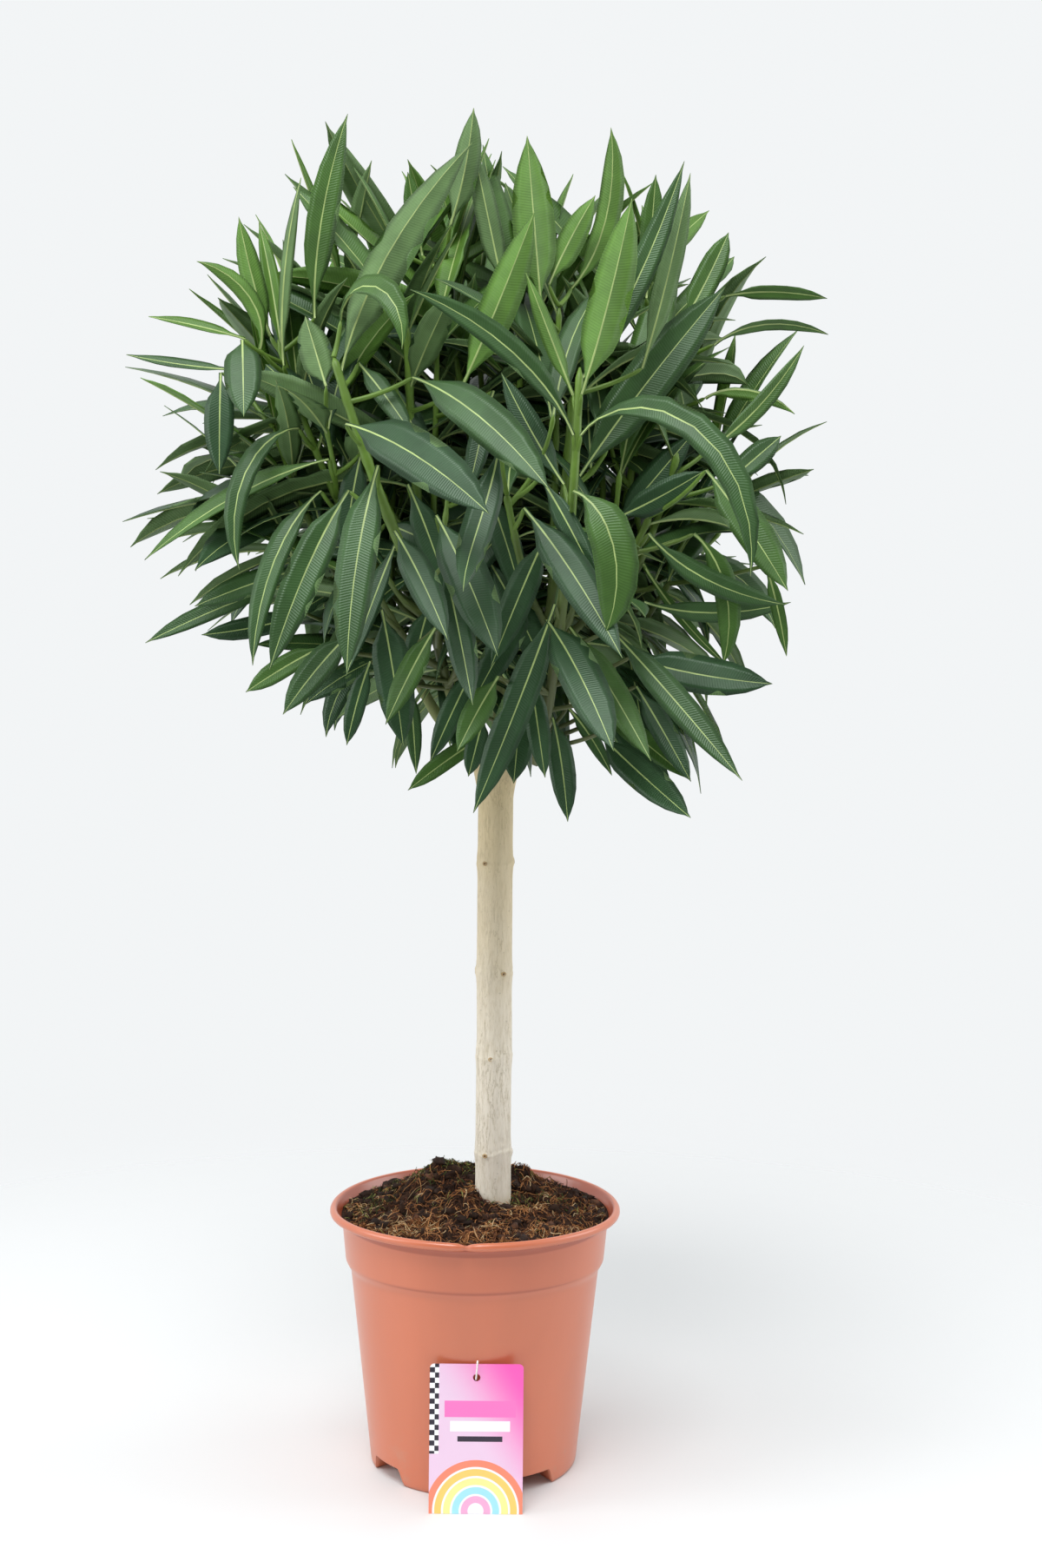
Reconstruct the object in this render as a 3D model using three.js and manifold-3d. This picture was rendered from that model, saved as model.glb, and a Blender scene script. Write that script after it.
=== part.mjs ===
// A potted oleander grown as a standard: one bare, straight trunk in a plastic nursery pot, forking at its head into
// short woody boughs, each carrying a mass of leafy shoots, which together make a round crown.
// Millimetres, +Z up. The origin is on the pot's axis, at the level of the surface that the pot stands on.
import * as THREE from "three";
import { mergeVertices } from "three/addons/utils/BufferGeometryUtils.js";
import Module from "manifold-3d";

const wasm = await Module();
wasm.setup();
const { Manifold } = wasm;

// ---------------------------------------------------------------- driving dimensions

const GAP = 0.3; // clearance between two separate pieces that meet
const SEED = 11.7;

// Pot: a round, tapered nursery pot with a collar, a rolled lip and four feet between raised channels
const POT_HEIGHT = 184;
const POT_WALL = 1.6;
const FOOT_RADIUS = 73;
const SHOULDER = { z: 134, radius: 86.7 }; // top of the lower wall
const COLLAR = { low: 141, lowRadius: 90.9, high: 177, highRadius: 93.6 };
const LIP_RADIUS = 102;
const LIP_HEIGHT = POT_HEIGHT - COLLAR.high;
const FLOOR = { under: 12, top: 17 }; // the pot's own floor, above its feet
const CHANNELS = { count: 4, first: 35, width: 40, topWidth: 27, innerRadius: 24 };
const DRAIN = { radius: 4, at: 46 };
const POT_SIDES = 36;

// Soil: a coarse peat mix, heaped behind and to the left of the trunk
const SOIL_EDGE = 178;
const SOIL_HEAPS = [
  { x: -20, y: 40, height: 19, spread: 34 },
  { x: 32, y: 44, height: 15, spread: 20 },
  { x: 0, y: 0, height: 7, spread: 80 },
];
const SOIL_SIDES = 26;
const SOIL_RINGS = 6;

// Trunk: nearly even in girth, with a slight swelling at each old leaf joint
const TRUNK = { x: 12.3, y: 0, foot: 172, head: 498, radius: 12.2, flare: 1.3 };
const TRUNK_JOINTS = [222, 291, 351, 428];
const JOINT_SWELL = 1.1;
const JOINT_REACH = 7;
const HEAD = { swell: 4, reach: 28, dome: 9 };
const TRUNK_SIDES = 11;

// Crown: a round envelope, rather square-shouldered, that every leaf tip stays inside, and an emptier middle
const CROWN = { x: -5, y: -2, z: 705, radius: 243, shoulder: 2.5, skirt: 2.05, fuller: 1.12, uneven: 0.045, core: 60 };

// Boughs and the shoots that they carry. Azimuths are degrees from +X towards +Y, radii are from the trunk's axis.
// A ring mass has a leader that rises from its bough's tip, and side shoots that leave the leader low down.
const RING = [
  { name: "right", azimuth: -6 },
  { name: "back_right", azimuth: 56 },
  { name: "back_left", azimuth: 116 },
  { name: "left", azimuth: 176 },
  { name: "front_left", azimuth: 233 },
  { name: "front_right", azimuth: 298 },
];
const RING_SHOOTS = [
  { from: 0, turn: 0, radius: 106, height: 822, whorls: 10, bare: 0.08, girth: 4.4, age: 0 },
  { from: 0.24, turn: -26, radius: 160, height: 772, whorls: 8, bare: 0.14, girth: 3.7, age: 0 },
  { from: 0.16, turn: 25, radius: 154, height: 722, whorls: 7, bare: 0.2, girth: 3.6, age: 0 },
  { from: 0.08, turn: -5, radius: 136, height: 650, whorls: 5, bare: 0.24, girth: 3.4, age: 2 },
  { from: 0.02, turn: 19, radius: 70, height: 588, whorls: 3, bare: 0.4, girth: 3.2, age: 3 },
  { from: 0.3, turn: 6, radius: 72, height: 800, whorls: 6, bare: 0.3, girth: 3.4, age: 1 },
  { from: 0.2, turn: -36, radius: 112, height: 696, whorls: 5, bare: 0.3, girth: 3.2, age: 2 },
];
const TOP_SHOOTS = [
  { from: 0, turn: 20, radius: 30, height: 838, whorls: 7, bare: 0.3, girth: 4, age: 0 },
  { from: 0.12, turn: 112, radius: 50, height: 816, whorls: 6, bare: 0.34, girth: 3.6, age: 0 },
  { from: 0.2, turn: 205, radius: 42, height: 830, whorls: 6, bare: 0.34, girth: 3.6, age: 0 },
  { from: 0.28, turn: 292, radius: 48, height: 818, whorls: 6, bare: 0.34, girth: 3.4, age: 0 },
];
const BOUGH = { root: 6, rootHeight: 500, elbowRadius: 0.8, elbowHeight: 528, share: 0.34, girth: 5.2 };
const BOUGH_SIDES = 6;
const SHOOT = { tipTaper: 0.62, footTaper: 0.6, tip: 7, collar: 4.4 }; // tip: bare length past the last whorl

// Leaves: long lances in whorls of three, each whorl turned halfway from the last. They arch outwards and down with
// age. Each list runs from a shoot's youngest whorl to its oldest.
const LEAF = { length: 150, spread: 26, width: 0.176, thickness: 0.011, petiole: 1.5 };
const AGE = {
  size: [0.66, 0.92, 1.02, 1.08, 1.08, 1.05, 1, 0.96, 0.92, 0.88],
  lean: [14, 28, 46, 62, 76, 86, 92, 96, 98, 100],
  droop: [14, 30, 66, 96, 104, 96, 84, 76, 70, 66],
  width: [0.85, 0.95, 1, 1, 1, 1, 1, 1, 1, 1],
};
const WHORL = 3;
const LEAF_STEPS = 24;
const LEAF_STATIONS = [1, 5, 11, 18];
const SHORTER = [1, 0.94, 0.88, 0.82, 0.76, 0.7]; // shares of its length that a leaf may be cut back to
const MIN_LEAF = 74; // a leaf that would have to be shorter than this is left out
const TURNS = [0, 14, -14, 28, -28, 44, -44, 60, -60]; // directions that a leaf is tried in before it is left out

// Label: a card that stands on the ground and leans on the pot by its loop
const LABEL = { width: 63, height: 100, thickness: 0.8, corner: 3, x: 3.4, foot: -98, lean: 7.4, hole: 2.6, drop: 9 };
const LOOP = { radius: 0.6, steps: 12, sides: 5 };

const COLOURS = {
  pot: 0xc8765a, soil: 0x35271d, bark: 0xcfc6b2, bough: 0x8d8a62, leaf: 0x33542c, label: 0xf1d9ea, loop: 0xf4f2ee,
};

// ---------------------------------------------------------------- helpers

const radians = THREE.MathUtils.degToRad;
const lerp = THREE.MathUtils.lerp;
const clamp = THREE.MathUtils.clamp;

// A repeatable number from 0 to 1 for each set of keys.
function noise(a, b, c, d) {
  const x = Math.sin(a * 12.9898 + b * 78.233 + c * 37.719 + d * 94.673 + SEED) * 43758.5453;
  return x - Math.floor(x);
}

const signed = (a, b, c, d) => 2 * noise(a, b, c, d) - 1;

// A mesh in the making. Its rings run counter-clockwise about the way forward, and a ring of one point is a tip.
class Surface {
  points = [];
  index = [];

  ring(points) {
    const first = this.points.length;
    this.points.push(...points);
    return points.map((_, i) => first + i);
  }

  face(...corners) {
    for (let i = 1; i + 1 < corners.length; i++) this.index.push(corners[0], corners[i], corners[i + 1]);
  }

  band(from, to) {
    const sides = Math.max(from.length, to.length);
    for (let i = 0; i < sides; i++) {
      const j = (i + 1) % sides;
      if (to.length === 1) this.face(from[i], from[j], to[0]);
      else if (from.length === 1) this.face(from[0], to[j], to[i]);
      else this.face(from[i], from[j], to[j], to[i]);
    }
  }

  // The faces as triples of points.
  faces() {
    return Array.from({ length: this.index.length / 3 }, (_, i) =>
      this.index.slice(3 * i, 3 * i + 3).map((corner) => this.points[corner]),
    );
  }

  geometry() {
    const positions = this.points.flatMap((p) => [p.x, p.y, p.z]);
    return new THREE.BufferGeometry()
      .setAttribute("position", new THREE.Float32BufferAttribute(positions, 3))
      .setIndex(this.index);
  }
}

// A closed tube through rings of points.
function loft(rings) {
  const surface = new Surface();
  const made = rings.map((points) => surface.ring(points));
  for (let i = 0; i + 1 < made.length; i++) surface.band(made[i], made[i + 1]);
  surface.face(...made[0].slice().reverse());
  surface.face(...made.at(-1));
  return surface.geometry();
}

// A round ring of points about a centre, in the plane across the way forward.
function ring(centre, forward, radius, sides, phase = 0) {
  const across = new THREE.Vector3(0, 0, 1).cross(forward);
  if (across.lengthSq() < 1e-4) across.set(1, 0, 0);
  across.normalize();
  const up = forward.clone().cross(across).normalize();
  return Array.from({ length: sides }, (_, i) => {
    const a = phase + (2 * Math.PI * i) / sides;
    return centre.clone().addScaledVector(across, radius * Math.cos(a)).addScaledVector(up, radius * Math.sin(a));
  });
}

function solid(geometry) {
  geometry.deleteAttribute("normal");
  geometry.deleteAttribute("uv");
  const merged = mergeVertices(geometry, 1e-3);
  return new Manifold(
    new wasm.Mesh({
      numProp: 3,
      vertProperties: new Float32Array(merged.attributes.position.array),
      triVerts: new Uint32Array(merged.index.array),
    }),
  );
}

function geometryOf(body) {
  const mesh = body.getMesh();
  const positions = [];
  for (let i = 0; i < mesh.numVert; i++) {
    positions.push(...mesh.vertProperties.slice(i * mesh.numProp, i * mesh.numProp + 3));
  }
  return new THREE.BufferGeometry()
    .setAttribute("position", new THREE.Float32BufferAttribute(positions, 3))
    .setIndex([...mesh.triVerts]);
}

// The largest whole body of a solid, with any sealed hollow filled.
function largestBody(body) {
  return body.decompose().sort((a, b) => b.volume() - a.volume())[0];
}

const oleander = new THREE.Group();

function addMesh(name, geometry, colour, roughness = 0.7) {
  const material = new THREE.MeshStandardMaterial({ color: colour, roughness, metalness: 0 });
  geometry.computeVertexNormals();
  const mesh = new THREE.Mesh(geometry, material);
  mesh.name = name;
  oleander.add(mesh);
  return mesh;
}

// ---------------------------------------------------------------- pot

function potProfile() {
  const wall = POT_WALL;
  const lip = LIP_HEIGHT;
  return [
    [0, 0],
    [FOOT_RADIUS - 2.5, 0],
    [FOOT_RADIUS, 2.5],
    [SHOULDER.radius, SHOULDER.z],
    [COLLAR.lowRadius, COLLAR.low],
    [COLLAR.highRadius, COLLAR.high],
    [LIP_RADIUS - 2.4, COLLAR.high],
    [LIP_RADIUS, COLLAR.high + 0.36 * lip],
    [LIP_RADIUS, COLLAR.high + 0.7 * lip],
    [LIP_RADIUS - 2.2, POT_HEIGHT],
    [COLLAR.highRadius + 0.8, POT_HEIGHT],
    [COLLAR.highRadius - wall, POT_HEIGHT - 2.4],
    [COLLAR.lowRadius - wall, COLLAR.low],
    [SHOULDER.radius - wall, SHOULDER.z],
    [FOOT_RADIUS - wall + 1.6, FLOOR.top],
    [0, FLOOR.top],
  ].map(([x, y]) => new THREE.Vector2(x, y));
}

// One raised channel under the base, open to the outside: a flat-topped prism that runs inwards from the wall.
function channel(azimuth) {
  const half = CHANNELS.width / 2;
  const halfTop = CHANNELS.topWidth / 2;
  const outline = new THREE.Shape([
    new THREE.Vector2(-half, -1),
    new THREE.Vector2(half, -1),
    new THREE.Vector2(halfTop, FLOOR.under),
    new THREE.Vector2(-halfTop, FLOOR.under),
  ]);
  const length = LIP_RADIUS - CHANNELS.innerRadius;
  return new THREE.ExtrudeGeometry(outline, { depth: length, bevelEnabled: false })
    .rotateX(Math.PI / 2)
    .translate(0, LIP_RADIUS, 0)
    .rotateZ(radians(azimuth - 90));
}

function drain(azimuth) {
  const a = radians(azimuth);
  return new THREE.CylinderGeometry(DRAIN.radius, DRAIN.radius, FLOOR.top + 4, 10)
    .rotateX(Math.PI / 2)
    .translate(DRAIN.at * Math.cos(a), DRAIN.at * Math.sin(a), (FLOOR.top + 4) / 2);
}

function makePot() {
  let body = solid(new THREE.LatheGeometry(potProfile(), POT_SIDES).rotateX(Math.PI / 2));
  for (let i = 0; i < CHANNELS.count; i++) {
    const azimuth = CHANNELS.first + (360 / CHANNELS.count) * i;
    body = body.subtract(solid(channel(azimuth))).subtract(solid(drain(azimuth)));
  }
  addMesh("pot", geometryOf(body), COLOURS.pot, 0.45);
  return body;
}

// ---------------------------------------------------------------- trunk and soil

// Radius of the trunk at a height: even, flared at the foot, swollen at each joint and at the head.
function trunkRadius(z, extra = 0) {
  const joints = TRUNK_JOINTS.reduce((sum, at) => sum + JOINT_SWELL * Math.exp(-(((z - at) / JOINT_REACH) ** 2)), 0);
  const flare = TRUNK.flare * Math.exp(-(z - TRUNK.foot) / 14);
  const head = HEAD.swell * THREE.MathUtils.smoothstep(z, TRUNK.head - HEAD.reach, TRUNK.head);
  return TRUNK.radius + joints + flare + head + extra;
}

function trunkGeometry(extra = 0) {
  const up = new THREE.Vector3(0, 0, 1);
  const heights = [TRUNK.foot - extra, TRUNK.foot + 12];
  for (const at of TRUNK_JOINTS) heights.push(at - JOINT_REACH, at, at + JOINT_REACH);
  heights.push(TRUNK.head - HEAD.reach, TRUNK.head - HEAD.reach / 2, TRUNK.head);
  const rings = heights.map((z) => ring(new THREE.Vector3(TRUNK.x, TRUNK.y, z), up, trunkRadius(z, extra), TRUNK_SIDES));
  const domeRadius = trunkRadius(TRUNK.head, extra);
  const dome = new THREE.Vector3(TRUNK.x, TRUNK.y, TRUNK.head + HEAD.dome * 0.62 + extra);
  rings.push(ring(dome, up, domeRadius * 0.72, TRUNK_SIDES));
  rings.push([new THREE.Vector3(TRUNK.x, TRUNK.y, TRUNK.head + HEAD.dome + extra)]);
  return loft(rings);
}

// Height of the soil at a place: level near the pot's wall, heaped towards the back, and lumpy all over.
function soilHeight(x, y) {
  const heaps = SOIL_HEAPS.reduce((sum, heap) => {
    const away = Math.hypot(x - heap.x, y - heap.y) / heap.spread;
    return sum + heap.height * Math.exp(-away * away);
  }, 0);
  const inside = 1 - clamp(Math.hypot(x, y) / (COLLAR.highRadius - POT_WALL), 0, 1) ** 6;
  const lumps = 1.6 * Math.sin(0.21 * x + 1.3) * Math.cos(0.17 * y - 0.4) + 1.1 * Math.sin(0.11 * x - 0.36 * y);
  return SOIL_EDGE + inside * (heaps + lumps);
}

function innerRadius(z) {
  const wall = POT_WALL + GAP;
  if (z > COLLAR.low) {
    return lerp(COLLAR.lowRadius, COLLAR.highRadius, (z - COLLAR.low) / (COLLAR.high - COLLAR.low)) - wall;
  }
  if (z > SHOULDER.z) {
    return lerp(SHOULDER.radius, COLLAR.lowRadius, (z - SHOULDER.z) / (COLLAR.low - SHOULDER.z)) - wall;
  }
  return lerp(FOOT_RADIUS + 1.6, SHOULDER.radius, (z - FLOOR.top) / (SHOULDER.z - FLOOR.top)) - wall;
}

function makeSoil() {
  const up = new THREE.Vector3(0, 0, 1);
  const bottom = FLOOR.top + GAP;
  const rings = [bottom, SHOULDER.z, COLLAR.low + 0.5].map((z) =>
    ring(new THREE.Vector3(0, 0, z), up, innerRadius(z) - GAP / 2, SOIL_SIDES),
  );
  for (let i = SOIL_RINGS; i > 0; i--) {
    const radius = (innerRadius(SOIL_EDGE - 2) - GAP) * (i / SOIL_RINGS);
    rings.push(ring(new THREE.Vector3(0, 0, 0), up, radius, SOIL_SIDES).map((p) => p.setZ(soilHeight(p.x, p.y))));
  }
  rings.push([new THREE.Vector3(0, 0, soilHeight(0, 0))]);
  const mix = solid(loft(rings)).subtract(solid(trunkGeometry(GAP)));
  addMesh("soil", geometryOf(largestBody(mix)), COLOURS.soil, 0.95);
}

// ---------------------------------------------------------------- boughs and shoots

// A place given by azimuth and radius about the trunk's axis, and height.
function place(azimuth, radius, height) {
  const a = radians(azimuth);
  return new THREE.Vector3(TRUNK.x + radius * Math.cos(a), TRUNK.y + radius * Math.sin(a), height);
}

// The masses of the crown, each with its bough's route and its shoots' routes.
function planMasses() {
  const masses = RING.map((mass, number) => planMass(mass.name, mass.azimuth, number, RING_SHOOTS, BOUGH.root));
  masses.push(planMass("top", 0, RING.length, TOP_SHOOTS, 0));
  return masses;
}

function planMass(name, azimuth, number, shoots, rootRadius) {
  const [leader, ...others] = shoots;
  const top = rootRadius === 0;
  const tip = shootTip(leader, azimuth, number, 0);
  const elbow = top
    ? place(azimuth + leader.turn, 2, BOUGH.elbowHeight + 30)
    : place(azimuth + leader.turn, leader.radius * BOUGH.elbowRadius, BOUGH.elbowHeight);
  const route = new THREE.QuadraticBezierCurve3(place(azimuth, rootRadius, BOUGH.rootHeight), elbow, tip);
  const plans = [{ ...leader, number: 0, route: rest(route, BOUGH.share) }];
  others.forEach((shoot, i) => {
    const start = plans[0].route.getPoint(shoot.from);
    const end = shootTip(shoot, azimuth, number, i + 1);
    const bend = start.clone().lerp(end, 0.55);
    bend.z = lerp(start.z, end.z, top ? 0.4 : 0.16);
    plans.push({ ...shoot, number: i + 1, route: new THREE.QuadraticBezierCurve3(start, bend, end) });
  });
  return { name, number, route, shoots: plans };
}

function shootTip(shoot, azimuth, mass, number) {
  const turn = azimuth + shoot.turn + 5 * signed(mass, number, 1, 1);
  const radius = shoot.radius * (1 + 0.05 * signed(mass, number, 2, 1));
  return place(turn, radius, shoot.height + 9 * signed(mass, number, 3, 1));
}

// The rest of a quadratic curve, from a share of the way along.
function rest(curve, share) {
  const elbow = curve.v1.clone().lerp(curve.v2, share);
  return new THREE.QuadraticBezierCurve3(curve.getPoint(share), elbow, curve.v2.clone());
}

function limb(curve, from, to, footGirth, tipGirth, steps, sides) {
  const rings = [];
  for (let i = 0; i <= steps; i++) {
    const t = lerp(from, to, i / steps);
    rings.push(ring(curve.getPoint(t), curve.getTangent(t), lerp(footGirth, tipGirth, i / steps), sides));
  }
  return loft(rings);
}

function makeBough(mass, trunkClear) {
  const end = BOUGH.share - GAP / mass.route.getLength();
  const body = solid(limb(mass.route, 0, end, BOUGH.girth, mass.shoots[0].girth, 5, BOUGH_SIDES));
  const bough = largestBody(body.subtract(trunkClear));
  addMesh(`bough_${mass.name}`, geometryOf(bough), COLOURS.bough, 0.8);
  return bough;
}

// ---------------------------------------------------------------- shoots

const girthAt = (shoot, along) => shoot.girth * lerp(1, SHOOT.tipTaper, along);

// Where along a shoot a whorl sits. Whorls are counted from its foot.
const whorlAt = (shoot, whorl) =>
  lerp(shoot.bare, 1 - SHOOT.tip / shoot.route.getLength(), whorl / (shoot.whorls - 1));

// 0 for a whorl at the tip of a growing shoot, and more for each whorl below it.
const ageOf = (shoot, whorl) => shoot.age + shoot.whorls - 1 - whorl;

const whorlTurn = (mass, shoot, whorl) => radians(60 * whorl + 40 * shoot.number + 25 * mass.number);

function stemRing(shoot, along, turn, girth = girthAt(shoot, along)) {
  return ring(shoot.route.getPoint(along), shoot.route.getTangent(along), girth, WHORL, turn);
}

// The short collar that a stem has at each whorl. Its upper end is turned halfway from its lower one, so that three
// facets, each with a point below and an edge above, face the three leaves.
function collar(mass, shoot, whorl) {
  const half = SHOOT.collar / 2 / shoot.route.getLength();
  const at = whorlAt(shoot, whorl);
  const turn = whorlTurn(mass, shoot, whorl);
  const low = stemRing(shoot, at - half, turn);
  const high = stemRing(shoot, at + half, turn + Math.PI / WHORL);
  return { low, high, foot: (slot) => [high[(slot + WHORL - 1) % WHORL], low[slot], high[slot]] };
}

// One shoot with its leaves as one surface. A facet of a collar that carries a leaf is open, as the leaf's own foot.
function shootSurface(mass, shoot, leaves = []) {
  const surface = new Surface();
  const turn = whorlTurn(mass, shoot, 0);
  const foot = surface.ring(stemRing(shoot, 0, turn, shoot.girth * (shoot.number ? SHOOT.footTaper : 1)));
  let below = surface.ring(stemRing(shoot, shoot.bare / 2, turn));
  surface.face(...foot.slice().reverse());
  surface.band(foot, below);
  for (let whorl = 0; whorl < shoot.whorls; whorl++) {
    const points = collar(mass, shoot, whorl);
    const low = surface.ring(points.low);
    const high = surface.ring(points.high);
    surface.band(below, low);
    for (let slot = 0; slot < WHORL; slot++) {
      surface.face(low[slot], low[(slot + 1) % WHORL], high[slot]);
      const facet = [high[(slot + WHORL - 1) % WHORL], low[slot], high[slot]];
      const leaf = leaves.find((one) => one.whorl === whorl && one.slot === slot);
      if (leaf) growFrom(surface, facet, leaf);
      else surface.face(...facet);
    }
    below = high;
  }
  surface.band(below, surface.ring([shoot.route.getPoint(1)]));
  return surface;
}

function growFrom(surface, foot, { plan, line }) {
  let from = foot;
  for (const points of leafRings(plan, line)) {
    const to = surface.ring(points);
    surface.band(from, to);
    from = to;
  }
}

// ---------------------------------------------------------------- leaves

// What one leaf of a whorl is like: where it starts, which way it goes, and how it bends.
function leafPlan(mass, shoot, whorl, slot, attempt) {
  const key = (number) => signed(mass.number * 10 + shoot.number, whorl * 10 + slot, number, 2);
  const along = whorlAt(shoot, whorl);
  const age = ageOf(shoot, whorl);
  const axis = shoot.route.getTangent(along);
  const side = new THREE.Vector3(-axis.y, axis.x, 0).normalize();
  const front = axis.clone().cross(side);
  const outward = (angle) => side.clone().multiplyScalar(Math.cos(angle)).addScaledVector(front, Math.sin(angle));
  const facet = whorlTurn(mass, shoot, whorl) + radians(120 * slot);
  const lean = radians(AGE.lean[age] + 9 * key(2));
  const turned = outward(facet + radians(12 * key(1) + TURNS[attempt]));
  const direction = axis.clone().multiplyScalar(Math.cos(lean)).addScaledVector(turned, Math.sin(lean));
  const rise = Math.asin(clamp(direction.z, -1, 1));
  const droop = radians(AGE.droop[age] * (0.85 + 0.55 * key(3)) + 4 * attempt);
  const length = AGE.size[age] * (LEAF.length + LEAF.spread * key(4));
  return {
    root: shoot.route.getPoint(along).addScaledVector(outward(facet), 0.7 * girthAt(shoot, along)),
    azimuth: Math.atan2(direction.y, direction.x),
    rise,
    fall: Math.max(rise - droop, radians(-86)),
    bend: 0.95 + 0.35 * key(7),
    length,
    width: length * LEAF.width * (1 + 0.13 * key(5)) * AGE.width[age],
    thickness: length * LEAF.thickness + 0.3,
    sway: radians(30 * key(6)),
    roll: radians(20 * key(8)),
    twist: radians(38 * key(9)),
  };
}

// The leaf's midline and the way its upper side faces, at even steps. The rise turns from its first value to its last
// along the leaf, early or late, and the azimuth sways. The midline is the running sum of steps in those directions.
function leafLine(leaf, length) {
  const rise = (t) => lerp(leaf.rise, leaf.fall, Math.pow(t, leaf.bend));
  const azimuth = (t) => leaf.azimuth + leaf.sway * t * t;
  const line = [];
  const point = leaf.root.clone();
  for (let i = 0; i <= LEAF_STEPS; i++) {
    const t = i / LEAF_STEPS;
    const forward = spherical(azimuth(t), rise(t));
    const face = spherical(azimuth(t), rise(t) + Math.PI / 2);
    const side = forward.clone().cross(face);
    const roll = leaf.roll + leaf.twist * t;
    const up = face.clone().multiplyScalar(Math.cos(roll)).addScaledVector(side, Math.sin(roll));
    line.push({ t, point: point.clone(), up, right: forward.clone().cross(up) });
    const middle = t + 0.5 / LEAF_STEPS;
    point.addScaledVector(spherical(azimuth(middle), rise(middle)), length / LEAF_STEPS);
  }
  return line;
}

function spherical(azimuth, rise) {
  const level = Math.cos(rise);
  return new THREE.Vector3(level * Math.cos(azimuth), level * Math.sin(azimuth), Math.sin(rise));
}

// Half the blade's width at a share of its length: a lance, widest just before the middle.
function halfWidth(leaf, t) {
  return Math.max(LEAF.petiole, 0.5 * leaf.width * Math.pow(Math.sin(Math.PI * Math.pow(t, 0.92)), 0.8));
}

// The sections of a three-sided blade, flat above with a keel below, and the point that closes it.
function leafRings(leaf, line, extra = 0) {
  const rings = LEAF_STATIONS.map((station) => {
    const { t, point, up, right } = line[station];
    const half = halfWidth(leaf, t) + extra;
    return [
      point.clone().addScaledVector(right, half).addScaledVector(up, extra),
      point.clone().addScaledVector(up, -leaf.thickness - extra),
      point.clone().addScaledVector(right, -half).addScaledVector(up, extra),
    ];
  });
  return [...rings, [line.at(-1).point.clone()]];
}

// How far from the crown's middle a point lies, as a share of the envelope's own radius that way. The envelope is a
// superellipse turned about the upright, rounder below its middle, and a little fuller at the lower front right.
function reach(point, key) {
  const across = Math.hypot(point.x - CROWN.x, point.y - CROWN.y);
  const fall = CROWN.z - point.z;
  const power = fall < 0 ? CROWN.shoulder : CROWN.skirt;
  const away = (across ** power + Math.abs(fall) ** power) ** (1 / power);
  const fuller = fall > 125 && point.x > 86 && point.y < -40;
  return away / (CROWN.radius * (fuller ? CROWN.fuller : 1) * (1 + CROWN.uneven * key));
}

// Shortens a leaf until its tip is inside the crown's envelope. Returns its midline, or null if it gets too short.
function fitted(leaf, key) {
  for (const share of SHORTER) {
    const line = leafLine(leaf, leaf.length * share);
    if (reach(line.at(-1).point, key) <= 1) return line;
    if (leaf.length * share < MIN_LEAF) return null;
  }
  return null;
}

const samePoint = (p, q) => p.distanceToSquared(q) < 1e-8;

// Whether the edge from p to q passes through a face.
function pierces(p, q, face) {
  const way = q.clone().sub(p);
  const length = way.length();
  const hit = new THREE.Ray(p, way.divideScalar(length)).intersectTriangle(...face, false, new THREE.Vector3());
  return hit !== null && hit.distanceTo(p) < length;
}

// Whether two faces cross. Faces with a common edge don't, and edges that end at a common corner aren't tried.
function facesCross(a, b) {
  const common = a.filter((p) => b.some((q) => samePoint(p, q)));
  if (common.length > 1) return false;
  const through = (from, face) =>
    from.some((p, i) => {
      const q = from[(i + 1) % 3];
      return !common.some((c) => samePoint(c, p) || samePoint(c, q)) && pierces(p, q, face);
    });
  return through(a, b) || through(b, a);
}

// Whether a leaf's faces cross each other, or any of its shoot's other faces.
function tangled(faces, others) {
  const box = new THREE.Box3().setFromPoints(faces.flat()).expandByScalar(GAP);
  const near = others.filter((face) => box.intersectsBox(new THREE.Box3().setFromPoints(face)));
  return faces.some((a, i) => near.some((b) => facesCross(a, b)) || faces.slice(i + 1).some((b) => facesCross(a, b)));
}

const boxesMeet = (a, b) => [0, 1, 2].every((i) => a.min[i] <= b.max[i] && b.min[i] <= a.max[i]);

const meets = (a, b) => boxesMeet(a.box, b.box) && a.body.intersect(b.body).volume() > 1e-4;

const boxed = (body) => ({ body, box: body.boundingBox() });

// Whether two pieces touch. A leaf's foot may touch its own stem and the other leaves of its whorl.
function touch(leaf, other) {
  const kin = leaf.mass === other.mass && leaf.shoot === other.shoot;
  const near = kin && (other.whorl === null || other.whorl === leaf.whorl) ? "blade" : "whole";
  return meets(leaf[near], other[near]);
}

// Grows every mass, youngest whorls first. A leaf is kept in the first of its directions in which it is clear.
function growMasses(masses, fixed) {
  const plain = (body) => ({ whorl: null, whole: boxed(body), blade: boxed(body) });
  const taken = fixed.map((body) => ({ mass: null, ...plain(body) }));
  const shoots = masses.flatMap((mass) => mass.shoots.map((shoot) => ({ mass, shoot, leaves: [], faces: [] })));
  for (const { mass, shoot, faces } of shoots) {
    const bare = shootSurface(mass, shoot);
    faces.push(...bare.faces());
    taken.push({ mass: mass.number, shoot: shoot.number, ...plain(solid(bare.geometry())) });
  }
  for (let age = 0; age < AGE.size.length; age++) {
    for (const one of shoots) {
      const whorl = one.shoot.whorls - 1 - age + one.shoot.age;
      if (whorl < 0 || whorl >= one.shoot.whorls) continue;
      for (let slot = 0; slot < WHORL; slot++) one.leaves.push(...growLeaf(one, whorl, slot, taken));
    }
  }
  return masses.map((mass) => {
    const grown = shoots.filter((one) => one.mass === mass);
    const parts = grown.map((one) => solid(shootSurface(mass, one.shoot, one.leaves).geometry()));
    return { mass, body: largestBody(Manifold.union(parts)) };
  });
}

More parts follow.
